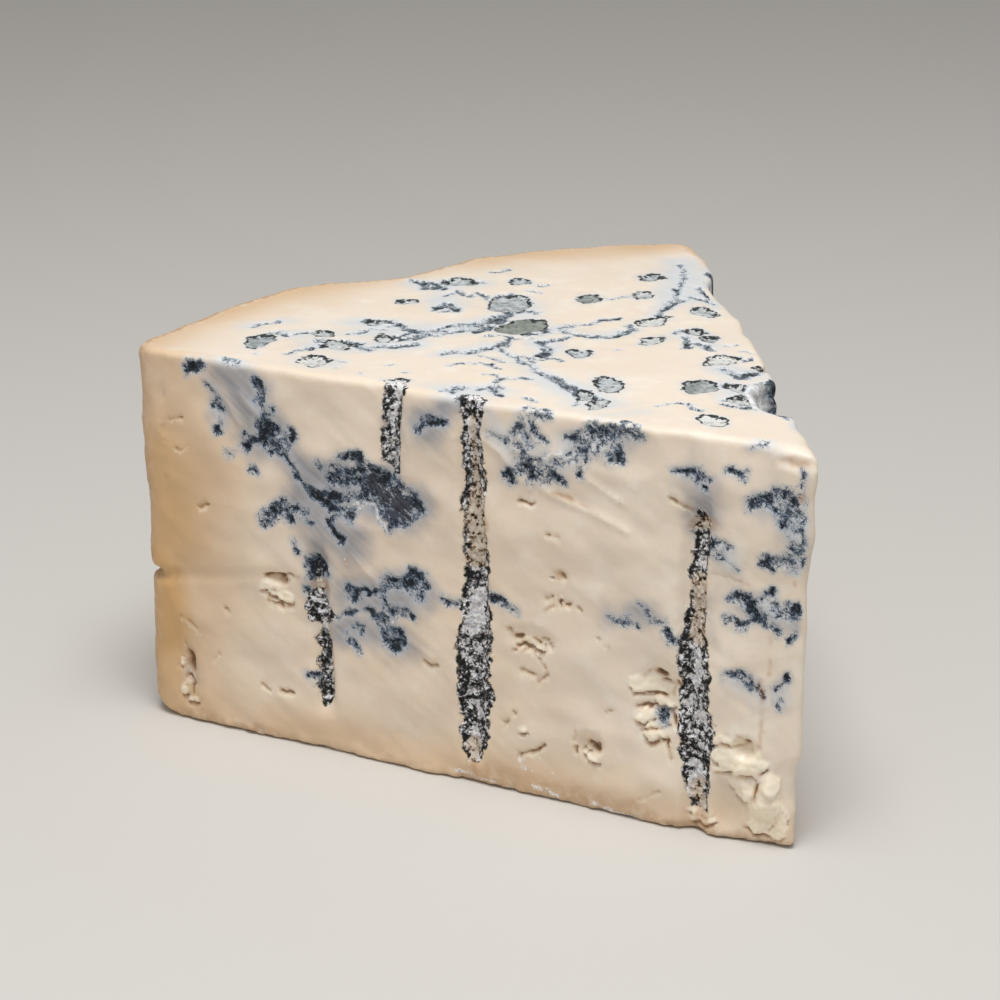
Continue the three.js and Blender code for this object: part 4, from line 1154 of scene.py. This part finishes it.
# The marks that places of the level cut have.
def top_marks(x, y):
    bent_x = x + 0.6 * mottle(x, y, 3.1, 21) + 0.35 * mottle(x, y, 1.3, 22)
    bent_y = y + 0.6 * mottle(x, y, 3.1, 23) + 0.35 * mottle(x, y, 1.3, 24)
    vein = np.minimum(1.4 * inside_strokes(bent_x, bent_y, TOP_VEINS), DEEPEST_VEIN)
    vein += 0.1 + 0.4 * mottle(x, y, 1.9, 36)
    haze = smoothstep(inside_strokes(bent_x, bent_y, TOP_HAZE) + 2.0 * mottle(x, y, 7.0, 25), -2.5, 4.5)
    eye_x = x + 0.9 * mottle(x, y, 2.6, 26) + 0.4 * mottle(x, y, 1.1, 61)
    eye_y = y + 0.9 * mottle(x, y, 2.6, 27) + 0.4 * mottle(x, y, 1.1, 62)
    eye, white = outside_eyes(eye_x, eye_y)
    to_rim = WHEEL_RADIUS - np.hypot(x, y)
    along = x * RIGHT_WAY[0] + y * RIGHT_WAY[1] - POCKET_RUN
    inward = -x * RIGHT_WAY[1] + y * RIGHT_WAY[0]
    bay = POCKET_DEPTH * np.sqrt(np.maximum(0.0, 1.0 - (along / POCKET_REACH) ** 2))
    bay = np.where(np.abs(along) < POCKET_REACH, bay, -FAR)
    vein = np.maximum(vein, 1.6 - 0.9 * np.abs(inward - bay + 0.5 * mottle(x, y, 2.0, 28)))
    return {
        "vein": np.clip(vein, FAR_OUT, 2.0),
        "haze": np.maximum(haze, 0.8 * (1.0 - smoothstep(eye, 0.0, 2.2))),
        "eye": np.clip(eye, FAR_OUT, NO_EYE),
        "white": white,
        "ripe_shade_and_glow": 0.85 * (1.0 - smoothstep(to_rim + 3.0 * mottle(x, y, 12.0, 35), -3.0, 21.0)),
        "rind": 0.75 * (1.0 - smoothstep(to_rim + 0.9 * mottle(x, y, 5.0, 29), 0.2, 3.4)),
        "level": 1.0,
    }


# Where the places of the level cut lie, with its finer relief.
def top_places(x, y, marks):
    z = HEIGHT + top_relief(x, y)
    z += 0.05 * mottle(x, y, 2.6, 31) + 0.03 * mottle(x, y, 1.1, 32)
    mould = smoothstep(marks["vein"], -0.2, 0.7)
    z -= mould * (TOP_MOULD_DEPTH + TOP_MOULD_DEPTH * mottle(x, y, 0.9, 33))
    z -= EYE_DEPTH * (1.0 - smoothstep(marks["eye"], -0.9, 0.2))
    drag = x * WIRE_COS - y * WIRE_SIN
    across = x * WIRE_SIN + y * WIRE_COS
    z += 0.05 * mottle(drag / 9.0, across, 1.4, 34)
    return np.column_stack([x, y, z])


# The mesh: places on the unrolled wall, closer together where there is more to show and towards
# the level edges, joined to triangles, then the level cut and the foot between its two rims.
FINEST = 0.425
EDGE_STRETCH = 1.5
EDGE_REACH = 2.5
UNROLLED_HEIGHT = HEIGHT + 2.0 * EDGE_STRETCH
RIM_STEP = 0.75
SEAM_STEP = 0.9
FOOT_STEP = 5.0
DENSE_STEP = 1
MIDDLE_STEP = 2
WIDE_STEP = 4
ROW_RISE = 0.866
SHAKE = 0.18
EDGE_MARGIN = 0.3
SEAM_MARGIN = 0.4
RIM_MARGIN = 0.45
FOOT_MARGIN = 0.6 * FOOT_STEP
NEAR_MARK = -0.35
NEAR_CRACK = -0.25
ROUND_MARK = -2.0
ROUND_TIP = 7.0
BEFORE_CORNER = 6.0
INSIDE_ONLY = 1
WELD_DISTANCE = 1e-6


# The height of a place on the unrolled wall, which is stretched at its two edges.
def height_at(v):
    low = EDGE_STRETCH * (1.0 - np.exp(-v / EDGE_REACH))
    high = EDGE_STRETCH * np.exp((v - UNROLLED_HEIGHT) / EDGE_REACH)
    return np.clip(v - low - high, 0.0, HEIGHT)


# Staggered places over a rectangle, a little shaken, and how many times rarer each could be left.
def staggered(low_x, high_x, low_y, high_y, step):
    rows = int((high_y - low_y) / (step * ROW_RISE)) + 1
    columns = int((high_x - low_x) / step) + 1
    row, column = np.meshgrid(np.arange(rows), np.arange(columns), indexing="ij")
    x = low_x + (column + 0.5 * (row % 2)) * step
    y = low_y + row * step * ROW_RISE
    fourth = (row % WIDE_STEP == 0) & (column % WIDE_STEP == 0)
    other = (row % MIDDLE_STEP == 0) & (column % MIDDLE_STEP == 0)
    rarer = np.where(fourth, WIDE_STEP, np.where(other, MIDDLE_STEP, DENSE_STEP))
    draw = np.random.default_rng(5)
    shake_x = draw.uniform(-SHAKE, SHAKE, x.shape) * step * rarer
    shake_y = draw.uniform(-SHAKE, SHAKE, x.shape) * step * rarer
    return (x + shake_x).ravel(), (y + shake_y).ravel(), rarer.ravel()


# Triangles between the places of a closed ring and the places within it, all turned one way.
def triangles(ring, inner):
    points = [Vector(place) for place in np.vstack([ring, inner]).tolist()]
    edges = [(i, (i + 1) % len(ring)) for i in range(len(ring))]
    result = delaunay_2d_cdt(points, edges, [], INSIDE_ONLY, WELD_DISTANCE)
    faces = np.array([face for face in result[2] if len(face) == 3])
    a, b, c = (np.vstack([ring, inner])[faces[:, corner]] for corner in range(3))
    turned = (b[:, 0] - a[:, 0]) * (c[:, 1] - a[:, 1]) < (c[:, 0] - a[:, 0]) * (b[:, 1] - a[:, 1])
    faces[turned] = faces[turned][:, ::-1]
    return faces


# How rare the places of the wall may be: dense at mould, cracks and torn paste, wide on plain rind.
def wall_step_allowed(s, z):
    _, _, run, _, rind = outline(s)
    marks = wall_marks(s, z, run, rind)
    busy = np.maximum.reduce([marks["vein"], marks["track"], marks["crack_and_shade"], marks["ridge"] - 0.3])
    busy = np.maximum(busy, np.where(marks["torn_or_lip_highlight"] > 0.05, 1.0, FAR_OUT))
    front = s < TIP_CORNER_RUN
    dense = (front & (busy > NEAR_MARK)) | (marks["crack_and_shade"] > NEAR_CRACK)
    middle = (busy > ROUND_MARK) | (np.abs(s) < ROUND_TIP) | (marks["pocket"] > 0.01)
    middle |= s > RIND_STOP - BEFORE_CORNER
    return np.where(dense, DENSE_STEP, np.where(middle, MIDDLE_STEP, WIDE_STEP))


rim_s = np.linspace(-FRONT_END, OUTLINE_END, int((OUTLINE_END + FRONT_END) / RIM_STEP), endpoint=False)
seam_v = np.linspace(0.0, UNROLLED_HEIGHT, int(UNROLLED_HEIGHT / SEAM_STEP))[1:-1]
rim_count = len(rim_s)
seam_count = len(seam_v)
foot_rim = np.column_stack([rim_s, np.zeros(rim_count)])
top_rim = np.column_stack([rim_s, np.full(rim_count, UNROLLED_HEIGHT)])
left_seam = np.column_stack([np.full(seam_count, -FRONT_END), seam_v])

s, v, rarer = staggered(-FRONT_END, OUTLINE_END, 0.0, UNROLLED_HEIGHT, FINEST)
kept = rarer >= wall_step_allowed(np.minimum(s, OUTLINE_END), height_at(v))
kept &= (v > EDGE_MARGIN) & (v < UNROLLED_HEIGHT - EDGE_MARGIN)
kept &= (s > -FRONT_END + SEAM_MARGIN) & (s < OUTLINE_END - SEAM_MARGIN)
wall_inner = np.column_stack([s[kept], v[kept]])

# The ring round the unrolled wall: foot rim, far seam, top rim backwards, near seam downwards.
ring = np.vstack([
    foot_rim, [[OUTLINE_END, 0.0]], np.column_stack([np.full(seam_count, OUTLINE_END), seam_v]),
    [[OUTLINE_END, UNROLLED_HEIGHT]], top_rim[::-1], left_seam[::-1]])
own = np.arange(2 * rim_count + seam_count + len(wall_inner))
foot_index = own[:rim_count]
top_index = own[rim_count:2 * rim_count]
seam_index = own[2 * rim_count:2 * rim_count + seam_count]
inner_index = own[2 * rim_count + seam_count:]
ring_index = np.concatenate([
    foot_index, foot_index[:1], seam_index, top_index[:1], top_index[::-1], seam_index[::-1]])
wall_faces = np.concatenate([ring_index, inner_index])[triangles(ring, wall_inner)]
unrolled = np.vstack([foot_rim, top_rim, left_seam, wall_inner])
wall_spots, marks = wall_places(unrolled[:, 0], height_at(unrolled[:, 1]))


# The places inside a closed outline, at least a margin away from it.
def well_inside(x, y, rim, margin):
    inside = np.zeros(x.shape, dtype=bool)
    nearest = np.full(x.shape, 1e9)
    for (ax, ay), (bx, by) in zip(rim, np.roll(rim, -1, axis=0)):
        crosses = (ay > y) != (by > y)
        inside ^= crosses & (x < ax + (bx - ax) * (y - ay) / (by - ay + 1e-12))
        nearest = np.minimum(nearest, (x - ax) ** 2 + (y - ay) ** 2)
    return inside & (nearest > margin * margin)


# The level cut, inside the top rim of the wall.
top_ring = wall_spots[top_index, :2]
x, y, rarer = staggered(-WHEEL_RADIUS, 0.0, 0.0, WHEEL_RADIUS * math.sin(WEDGE_ANGLE), FINEST)
near = (y < -x * math.tan(WEDGE_ANGLE)) & (np.hypot(x, y) < WHEEL_RADIUS)
x, y, rarer = x[near], y[near], rarer[near]
found = top_marks(x, y)
busy = np.maximum(found["vein"], 1.0 - np.abs(found["eye"]))
allowed = np.where(busy > 0.0, DENSE_STEP, np.where(busy > ROUND_MARK, MIDDLE_STEP, WIDE_STEP))
kept = rarer >= allowed
x, y = x[kept], y[kept]
kept = well_inside(x, y, top_ring, RIM_MARGIN)
top_inner = np.column_stack([x[kept], y[kept]])
level_marks = top_marks(top_inner[:, 0], top_inner[:, 1])
top_spots = top_places(top_inner[:, 0], top_inner[:, 1], level_marks)
top_start = len(wall_spots)
top_all = np.concatenate([top_index, top_start + np.arange(len(top_spots))])
top_faces = top_all[triangles(top_ring, top_inner)]

# The flat rind foot, whose marks are the same all over.
foot_ring = wall_spots[foot_index, :2]
x, y, _ = staggered(-WHEEL_RADIUS, 0.0, 0.0, WHEEL_RADIUS * math.sin(WEDGE_ANGLE), FOOT_STEP)
kept = well_inside(x, y, foot_ring, FOOT_MARGIN)
foot_inner = np.column_stack([x[kept], y[kept]])
foot_start = top_start + len(top_spots)
foot_all = np.concatenate([foot_index, foot_start + np.arange(len(foot_inner))])
foot_faces = foot_all[triangles(foot_ring, foot_inner)][:, ::-1]
foot_spots = np.column_stack([foot_inner, np.zeros(len(foot_inner))])
foot_marks = {"rind": 1.0}

# The whole wedge as one closed mesh in metres, with the marks as attributes.
MM_PER_METRE = 1000.0
spots = np.vstack([wall_spots, top_spots, foot_spots]) + [TIP_X, TIP_Y, 0.0]
faces = np.vstack([wall_faces, top_faces, foot_faces])
mesh = bpy.data.meshes.new("blue_cheese_wedge")
mesh.from_pydata((spots / MM_PER_METRE).tolist(), [], faces.tolist())
mesh.shade_smooth()
faces_of_wedge = [(wall_spots, marks), (top_spots, level_marks), (foot_spots, foot_marks)]
for name, blank in BLANK.items():
    values = [np.full(len(places), found.get(name, blank)) for places, found in faces_of_wedge]
    attribute = mesh.attributes.new(name, "FLOAT", "POINT")
    attribute.data.foreach_set("value", np.concatenate(values).astype(np.float32))
wedge = bpy.data.objects.new("blue_cheese_wedge", mesh)
bpy.context.scene.collection.objects.link(wedge)


# Colours are written as sRGB hex and turned to linear.
def colour(hex_code):
    channels = [int(hex_code[start:start + 2], 16) / 255.0 for start in (0, 2, 4)]
    linear = [c / 12.92 if c <= 0.04045 else ((c + 0.055) / 1.055) ** 2.4 for c in channels]
    return (*linear, 1.0)


# Ripened cow's milk paste, cut with a wire: dense, waxy and a little translucent, so light goes
# in a millimetre or two. Blue mould is a dull velvet in it, and the dry rind is rough and matt.
paste = bpy.data.materials.new("ripened_blue_cheese")
paste.use_nodes = True
tree = paste.node_tree
tree.nodes.clear()


# Adds a node with its settings and links. An input that is a socket is linked, others are set.
def add(kind, inputs, output=0, **properties):
    node = tree.nodes.new("ShaderNode" + kind)
    for name, value in properties.items():
        setattr(node, name, value)
    for name, value in inputs.items():
        if isinstance(value, bpy.types.NodeSocket):
            tree.links.new(value, node.inputs[name])
        else:
            node.inputs[name].default_value = value
    return node.outputs[output] if node.outputs else None


# Math's inputs share one name, so they go by number. A Mix goes from under to over by its share,
# and a MapRange brings what lies from low to high to least to most.
SHARE, UNDER, OVER = 0, 6, 7
LOW, HIGH, LEAST, MOST = 1, 2, 3, 4
MIX = {"output": 2, "data_type": "RGBA"}
SOFT = {"interpolation_type": "SMOOTHSTEP"}
in_mm = add("VectorMath", {0: add("TexCoord", {}, "Object"), "Scale": MM_PER_METRE}, operation="SCALE")
mark = {}
for name in BLANK:
    mark[name] = add("Attribute", {}, "Fac", attribute_name=name)

# Grains of unlike size, the long streaks that the cutting wire dragged, and the tufts of the
# mould, whose real threads are far thinner than a millimetre. Each has its size in millimetres,
# detail, roughness and twist.
GRAINS = {"cloud": (24.0, 2.0, 0.5, 0.0), "blotch": (7.0, 3.0, 0.6, 0.0), "clump": (2.0, 3.0, 0.6, 0.0),
          "edge": (1.1, 3.0, 0.6, 0.0), "thread": (1.2, 2.0, 0.6, 1.2), "granule": (1.2, 4.0, 0.62, 0.4),
          "speck": (0.55, 3.0, 0.7, 0.3)}
grain = {}
for name, (size, detail, roughness, twist) in GRAINS.items():
    settings = {"Vector": in_mm, "Scale": 1.0 / size, "Detail": detail, "Roughness": roughness,
                "Distortion": twist}
    grain[name] = add("TexNoise", settings, "Fac")
DRAG_SLOPE = math.radians(38.0)
DRAWN = {"streak": ((14.0, 1.0, 1.0), 3.0, 0.5, 0.0), "tuft": ((1.9, 0.9, 0.9), 6.0, 0.7, 0.8)}
for name, (sizes, detail, roughness, twist) in DRAWN.items():
    drawn = add("Mapping", {"Vector": in_mm, "Rotation": (0.0, DRAG_SLOPE, 0.0), "Scale": sizes},
                vector_type="TEXTURE")
    settings = {"Vector": drawn, "Scale": 1.0, "Detail": detail, "Roughness": roughness,
                "Distortion": twist}
    grain[name] = add("TexNoise", settings, "Fac")

# The bare paste: pinkish cream, a little yellower in clouds and paler in blotches, and amber
# near the rind, where it is riper. The same amber paints shade on the front cut away from the
# tip, and a glow at its corner below the crease.
cream = add("Mix", {SHARE: grain["cloud"], UNDER: colour("F1E5D6"), OVER: colour("E8D7C2")}, **MIX)
pale = add("MapRange", {"Value": grain["blotch"], LOW: 0.5, HIGH: 0.75, MOST: 0.5}, **SOFT)
cream = add("Mix", {SHARE: pale, UNDER: cream, OVER: colour("F5EEE3")}, **MIX)
cream = add("Mix", {SHARE: mark["ripe_shade_and_glow"], UNDER: cream, OVER: colour("CFA671")}, **MIX)

# The breath of young mould: a grey tint under the surface round the veins, in drawn streaks.
drag_share = add("MapRange", {"Value": grain["streak"], LOW: 0.35, HIGH: 0.65, LEAST: 0.75, MOST: 1.0})
haze_share = add("Math", {0: mark["haze"], 1: drag_share}, operation="MULTIPLY")
haze_light = add("Math", {0: mark["level"], 1: mark["teal"]}, operation="MAXIMUM")
haze_tint = add("Mix", {SHARE: haze_light, UNDER: colour("9C9CA2"), OVER: colour("D3D7DA")}, **MIX)
body = add("Mix", {SHARE: haze_share, UNDER: cream, OVER: haze_tint}, **MIX)

# Broken paste is paler, and a painted highlight lies on the lip below each crack. Light comes
# amber through the thin paste in its crevices, painted as an amber tint round them, and painted
# shade makes the crevices and the band under the chunks brown, with dark brown bottoms.
paler_broken_or_lip = add("Math", {0: mark["torn_or_lip_highlight"], 1: 0.75}, operation="MULTIPLY")
body = add("Mix", {SHARE: paler_broken_or_lip, UNDER: body, OVER: colour("FCEFD8")}, **MIX)
crevice_amber_glow = add("MapRange", {"Value": mark["crack_and_shade"], LOW: -0.5, HIGH: 0.0, MOST: 0.3}, **SOFT)
body = add("Mix", {SHARE: crevice_amber_glow, UNDER: body, OVER: colour("C99E68")}, **MIX)
crevice_shade = add("MapRange", {"Value": mark["crack_and_shade"], LOW: 0.0, HIGH: 0.2}, **SOFT)
shown = add("MapRange", {"Value": grain["clump"], LOW: 0.35, HIGH: 0.6, LEAST: 0.35, MOST: 0.9})
crevice_shade = add("Math", {0: crevice_shade, 1: shown}, operation="MULTIPLY")
body = add("Mix", {SHARE: crevice_shade, UNDER: body, OVER: colour("94683C")}, **MIX)
crack_bottom_shade = add("MapRange", {"Value": mark["crack_and_shade"], LOW: 0.25, HIGH: 0.55, MOST: 0.85}, **SOFT)
body = add("Mix", {SHARE: crack_bottom_shade, UNDER: body, OVER: colour("523820")}, **MIX)

# The dry rind: tan and ochre skin with a white and grey bloom in its pits.
skin = add("Mix", {SHARE: grain["blotch"], UNDER: colour("DAB88F"), OVER: colour("B48A61")}, **MIX)
bloom = add("MapRange", {"Value": grain["clump"], LOW: 0.42, HIGH: 0.66, MOST: 0.65}, **SOFT)
dusted = add("MapRange", {"Value": grain["blotch"], LOW: 0.35, HIGH: 0.65, LEAST: 0.3, MOST: 1.0})
bloom = add("Math", {0: bloom, 1: dusted}, operation="MULTIPLY")
skin = add("Mix", {SHARE: bloom, UNDER: skin, OVER: colour("E8DACA")}, **MIX)
body = add("Mix", {SHARE: mark["rind"], UNDER: body, OVER: skin}, **MIX)

# Blue mould: it darkens from a pale blue breath over slate to black with its depth, in wisps and
# with thin threads. On the level cut it is greyer. The last and darkest tint also lines the eyes.
ragged = add("Math", {0: grain["clump"], 1: 2.6, 2: -1.3}, operation="MULTIPLY_ADD")
fringe = add("Math", {0: grain["edge"], 1: 1.8, 2: -0.9}, operation="MULTIPLY_ADD")
ragged = add("Math", {0: ragged, 1: fringe}, operation="ADD")
wisps = add("Math", {0: grain["tuft"], 1: 2.8, 2: -1.4}, operation="MULTIPLY_ADD")
off_thread = add("Math", {0: grain["thread"], 1: 0.5}, operation="SUBTRACT")
off_thread = add("Math", {0: off_thread}, operation="ABSOLUTE")
threads = add("MapRange", {"Value": off_thread, LOW: 0.0, HIGH: 0.06, LEAST: 0.8, MOST: -0.1}, **SOFT)
density = add("Math", {0: mark["vein"], 1: ragged}, operation="ADD")
density = add("Math", {0: density, 1: wisps}, operation="ADD")
density = add("Math", {0: density, 1: threads}, operation="ADD")
density = add("Math", {0: mark["teal"], 1: -0.45, 2: density}, operation="MULTIPLY_ADD")
density = add("Math", {0: mark["level"], 1: -0.15, 2: density}, operation="MULTIPLY_ADD")
breath = add("Mix", {SHARE: mark["level"], UNDER: colour("BFC2C6"), OVER: colour("DCDFE1")}, **MIX)
breath_share = add("MapRange", {"Value": mark["vein"], LOW: -2.2, HIGH: -0.2, MOST: 0.45}, **SOFT)
veined = add("Mix", {SHARE: breath_share, UNDER: body, OVER: breath}, **MIX)
for low, high, most, tint, level_tint in (
        (-0.8, 0.1, 0.5, "A2ADBA", "C6CED5"), (-0.1, 0.5, 0.85, "5E7085", "8B96A2"),
        (0.4, 0.85, 0.9, "2C3847", "545F68"), (0.8, 1.3, 0.95, "11161B", "282D2F")):
    ink = add("Mix", {SHARE: mark["level"], UNDER: colour(tint), OVER: colour(level_tint)}, **MIX)
    share = add("MapRange", {"Value": density, LOW: low, HIGH: high, MOST: most}, **SOFT)
    veined = add("Mix", {SHARE: share, UNDER: veined, OVER: ink}, **MIX)

# Where the knife smeared the big patch smooth, its skin is slate violet with black cracks.
tattered = add("MapRange", {"Value": grain["tuft"], LOW: 0.3, HIGH: 0.7, LEAST: -2.4, MOST: 1.6})
smear = add("Math", {0: mark["slate"], 1: tattered}, operation="ADD")
smear = add("MapRange", {"Value": smear, LOW: -0.2, HIGH: 0.3}, **SOFT)
off_drag = add("Math", {0: grain["streak"], 1: 0.5}, operation="SUBTRACT")
off_drag = add("Math", {0: off_drag}, operation="ABSOLUTE")
split = add("MapRange", {"Value": off_drag, LOW: 0.008, HIGH: 0.035}, **SOFT)
slate = add("Mix", {SHARE: split, UNDER: colour("1B1A20"), OVER: colour("464853")}, **MIX)
veined = add("Mix", {SHARE: smear, UNDER: veined, OVER: slate}, **MIX)

# A needle channel is a crumbly tangle: black and olive threads, thickest along its sides, round
# granules of grey, lilac and white down, with a brown stretch.
channel = add("Math", {0: ragged, 1: 0.4, 2: mark["track"]}, operation="MULTIPLY_ADD")
channel = add("Math", {0: wisps, 1: 0.7, 2: channel}, operation="MULTIPLY_ADD")
channel_share = add("MapRange", {"Value": channel, LOW: -0.1, HIGH: 0.3}, **SOFT)
white = add("Math", {0: ragged, 1: 0.4, 2: mark["down_and_glint"]}, operation="MULTIPLY_ADD")
white = add("Math", {0: wisps, 1: 0.4, 2: white}, operation="MULTIPLY_ADD")
white = add("MapRange", {"Value": white, LOW: -0.5, HIGH: 0.7, MOST: 0.17}, **SOFT)
lining = add("MapRange", {"Value": mark["track"], LOW: 1.3, HIGH: 0.0, MOST: 0.055}, **SOFT)
tone = add("Math", {0: grain["speck"], 1: 0.4, 2: -0.195}, operation="MULTIPLY_ADD")
tone = add("Math", {0: grain["granule"], 1: tone}, operation="ADD")
tone = add("Math", {0: tone, 1: white}, operation="ADD")
tone = add("Math", {0: tone, 1: lining}, operation="SUBTRACT")
tone = add("Math", {0: mark["brown_and_shade"], 1: 0.085, 2: tone}, operation="MULTIPLY_ADD")
granules = colour("181A17")
middle_tint = add("Mix", {SHARE: mark["brown_and_shade"], UNDER: colour("77767A"), OVER: colour("8C7050")}, **MIX)
sparkle = add("MapRange", {"Value": grain["speck"], LOW: 0.4, HIGH: 0.54}, **SOFT)
light_tint = add("Mix", {SHARE: sparkle, UNDER: colour("C6C4CE"), OVER: colour("FFFDFB")}, **MIX)
light_tint = add("Mix", {SHARE: mark["brown_and_shade"], UNDER: light_tint, OVER: colour("E4D6C6")}, **MIX)
for low, high, tint in ((0.46, 0.49, middle_tint), (0.53, 0.57, light_tint)):
    share = add("MapRange", {"Value": tone, LOW: low, HIGH: high}, **SOFT)
    granules = add("Mix", {SHARE: share, UNDER: granules, OVER: tint}, **MIX)
track = add("Mix", {SHARE: channel_share, UNDER: veined, OVER: granules}, **MIX)

# White down and brown stain beside the channels, and a painted glint on the paste. The brown
# also paints shade under the tip's lip, along a crease near the tip and above a knife ridge.
beside = add("MapRange", {"Value": white, LOW: 0.07, HIGH: 0.12, MOST: 0.65})
track = add("Mix", {SHARE: beside, UNDER: track, OVER: light_tint}, **MIX)
elsewhere = add("Math", {0: 1.0, 1: channel_share}, operation="SUBTRACT")
stain_and_shade = add("Math", {0: mark["brown_and_shade"], 1: elsewhere}, operation="MULTIPLY")
stain_and_shade = add("Math", {0: stain_and_shade, 1: 0.45}, operation="MULTIPLY")
track = add("Mix", {SHARE: stain_and_shade, UNDER: track, OVER: colour("B8854E")}, **MIX)

# The eyes of the level cut: a thin broken black line round an olive, grey or white filling.
eye = add("Math", {0: ragged, 1: 0.5, 2: mark["eye"]}, operation="MULTIPLY_ADD")
eye_wall = add("Math", {0: eye}, operation="ABSOLUTE")
eye_thick = add("Math", {0: grain["edge"], 1: 3.0, 2: -1.2}, operation="MULTIPLY_ADD")
eye_line = add("Math", {0: eye_thick, 1: eye_wall}, operation="SUBTRACT")
eye_line = add("MapRange", {"Value": eye_line, LOW: -0.25, HIGH: 0.15}, **SOFT)
patchy = add("MapRange", {"Value": grain["clump"], LOW: 0.4, HIGH: 0.6}, **SOFT)
filling = add("Mix", {SHARE: patchy, UNDER: colour("8F989C"), OVER: colour("C2C8CB")}, **MIX)
for low, high, tint in ((0.0, 1.0, "DDDDD8"), (0.0, -0.9, "757A68")):
    share = add("MapRange", {"Value": mark["white"], LOW: low, HIGH: high})
    filling = add("Mix", {SHARE: share, UNDER: filling, OVER: colour(tint)}, **MIX)
netted = add("MapRange", {"Value": grain["edge"], LOW: 0.52, HIGH: 0.66, MOST: 0.6}, **SOFT)
filling = add("Mix", {SHARE: netted, UNDER: filling, OVER: ink}, **MIX)
eye_share = add("MapRange", {"Value": eye, LOW: 0.15, HIGH: -0.15}, **SOFT)
eyed = add("Mix", {SHARE: eye_share, UNDER: track, OVER: filling}, **MIX)
eyed = add("Mix", {SHARE: eye_line, UNDER: eyed, OVER: ink}, **MIX)

# The burst pocket is felted with white down inside.
felt_share = add("MapRange", {"Value": grain["granule"], LOW: 0.38, HIGH: 0.6}, **SOFT)
felt = add("Mix", {SHARE: felt_share, UNDER: colour("C6C8CB"), OVER: colour("F6F6F4")}, **MIX)
felted = add("Mix", {SHARE: mark["pocket"], UNDER: eyed, OVER: felt}, **MIX)

# Mould and rind are dull and crumbly, and the bare paste has a waxy shine.
mouldy = add("MapRange", {"Value": density, LOW: -0.3, HIGH: 0.6}, **SOFT)
mouldy = add("Math", {0: mouldy, 1: channel_share}, operation="MAXIMUM")
mouldy = add("Math", {0: mouldy, 1: mark["rind"]}, operation="MAXIMUM")
dullness = add("MapRange", {"Value": mouldy, LEAST: 0.36, MOST: 0.85})
waxy = add("Bump", {"Strength": 0.12, "Distance": 0.0004, "Height": grain["edge"]})
crumbly = add("Bump", {"Strength": mouldy, "Distance": 0.0006, "Height": grain["tuft"], "Normal": waxy})
surface = add("BsdfPrincipled", {
    "Base Color": felted, "Roughness": dullness, "Normal": crumbly, "IOR": 1.46,
    "Subsurface Weight": 0.25, "Subsurface Scale": 0.003, "Subsurface Radius": (1.0, 0.65, 0.4)})
add("OutputMaterial", {"Surface": surface})
mesh.materials.append(paste)

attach(wedge, "root")
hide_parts("cheese_wedge")

# The floor: a wide pale sheet that the wedge stands on. It is matt paper, which gives a soft
# shadow and no shine, and it is no part of the wedge.
FLOOR_HALF = 3.0
PAPER_ROUGHNESS = 0.8
floor_mesh = bpy.data.meshes.new("floor")
floor_mesh.from_pydata(
    [(-FLOOR_HALF, -FLOOR_HALF, 0.0), (FLOOR_HALF, -FLOOR_HALF, 0.0),
     (FLOOR_HALF, FLOOR_HALF, 0.0), (-FLOOR_HALF, FLOOR_HALF, 0.0)], [], [(0, 1, 2, 3)])
floor = bpy.data.objects.new("floor", floor_mesh)
bpy.context.scene.collection.objects.link(floor)
sheet = bpy.data.materials.new("matt_paper_sheet")
sheet.use_nodes = True
sheet.node_tree.nodes["Principled BSDF"].inputs["Base Color"].default_value = colour("CFCCC7")
sheet.node_tree.nodes["Principled BSDF"].inputs["Roughness"].default_value = PAPER_ROUGHNESS
floor_mesh.materials.append(sheet)


# Soft studio light: a wide panel above, a weak one before the front cut, and an even pale room.
# The panels are aimed at the middle of the wedge.
AIM = (0.0, 0.0, 0.04)
ROOM_STRENGTH = 0.36


def panel(name, place, size, power):
    light = bpy.data.lights.new(name, "AREA")
    light.size = size
    light.energy = power
    lamp = bpy.data.objects.new(name, light)
    lamp.location = place
    lamp.rotation_euler = (Vector(AIM) - Vector(place)).to_track_quat("-Z", "Y").to_euler()
    bpy.context.scene.collection.objects.link(lamp)


panel("overhead_panel", (0.12, -0.24, 0.87), 0.45, 6.7)
panel("front_panel", (-0.35, -1.0, 0.4), 0.8, 0.9)
world = bpy.data.worlds.new("pale_room")
world.use_nodes = True
world.node_tree.nodes["Background"].inputs["Color"].default_value = colour("F4F2EF")
world.node_tree.nodes["Background"].inputs["Strength"].default_value = ROOM_STRENGTH
bpy.context.scene.world = world
bpy.context.scene.view_settings.view_transform = "Standard"

# The camera looks at the front cut from a little above it, at the angle of the photograph. Its
# turns are in degrees, and its lens and sensor in millimetres.
CAMERA_PLACE = (0.2433, -0.4971, 0.2403)
CAMERA_TURN = 28.1
CAMERA_TILT = -20.0
CAMERA_ROLL = 0.5
CAMERA_LENS = 99.57
SENSOR_WIDTH = 36.0
lens = bpy.data.cameras.new("camera")
lens.lens = CAMERA_LENS
lens.sensor_width = SENSOR_WIDTH
camera = bpy.data.objects.new("camera", lens)
aim = Matrix.Rotation(math.radians(CAMERA_TURN), 4, "Z")
aim = aim @ Matrix.Rotation(math.radians(90.0 + CAMERA_TILT), 4, "X")
aim = aim @ Matrix.Rotation(math.radians(-CAMERA_ROLL), 4, "Z")
camera.matrix_world = Matrix.Translation(CAMERA_PLACE) @ aim
bpy.context.scene.collection.objects.link(camera)
bpy.context.scene.camera = camera
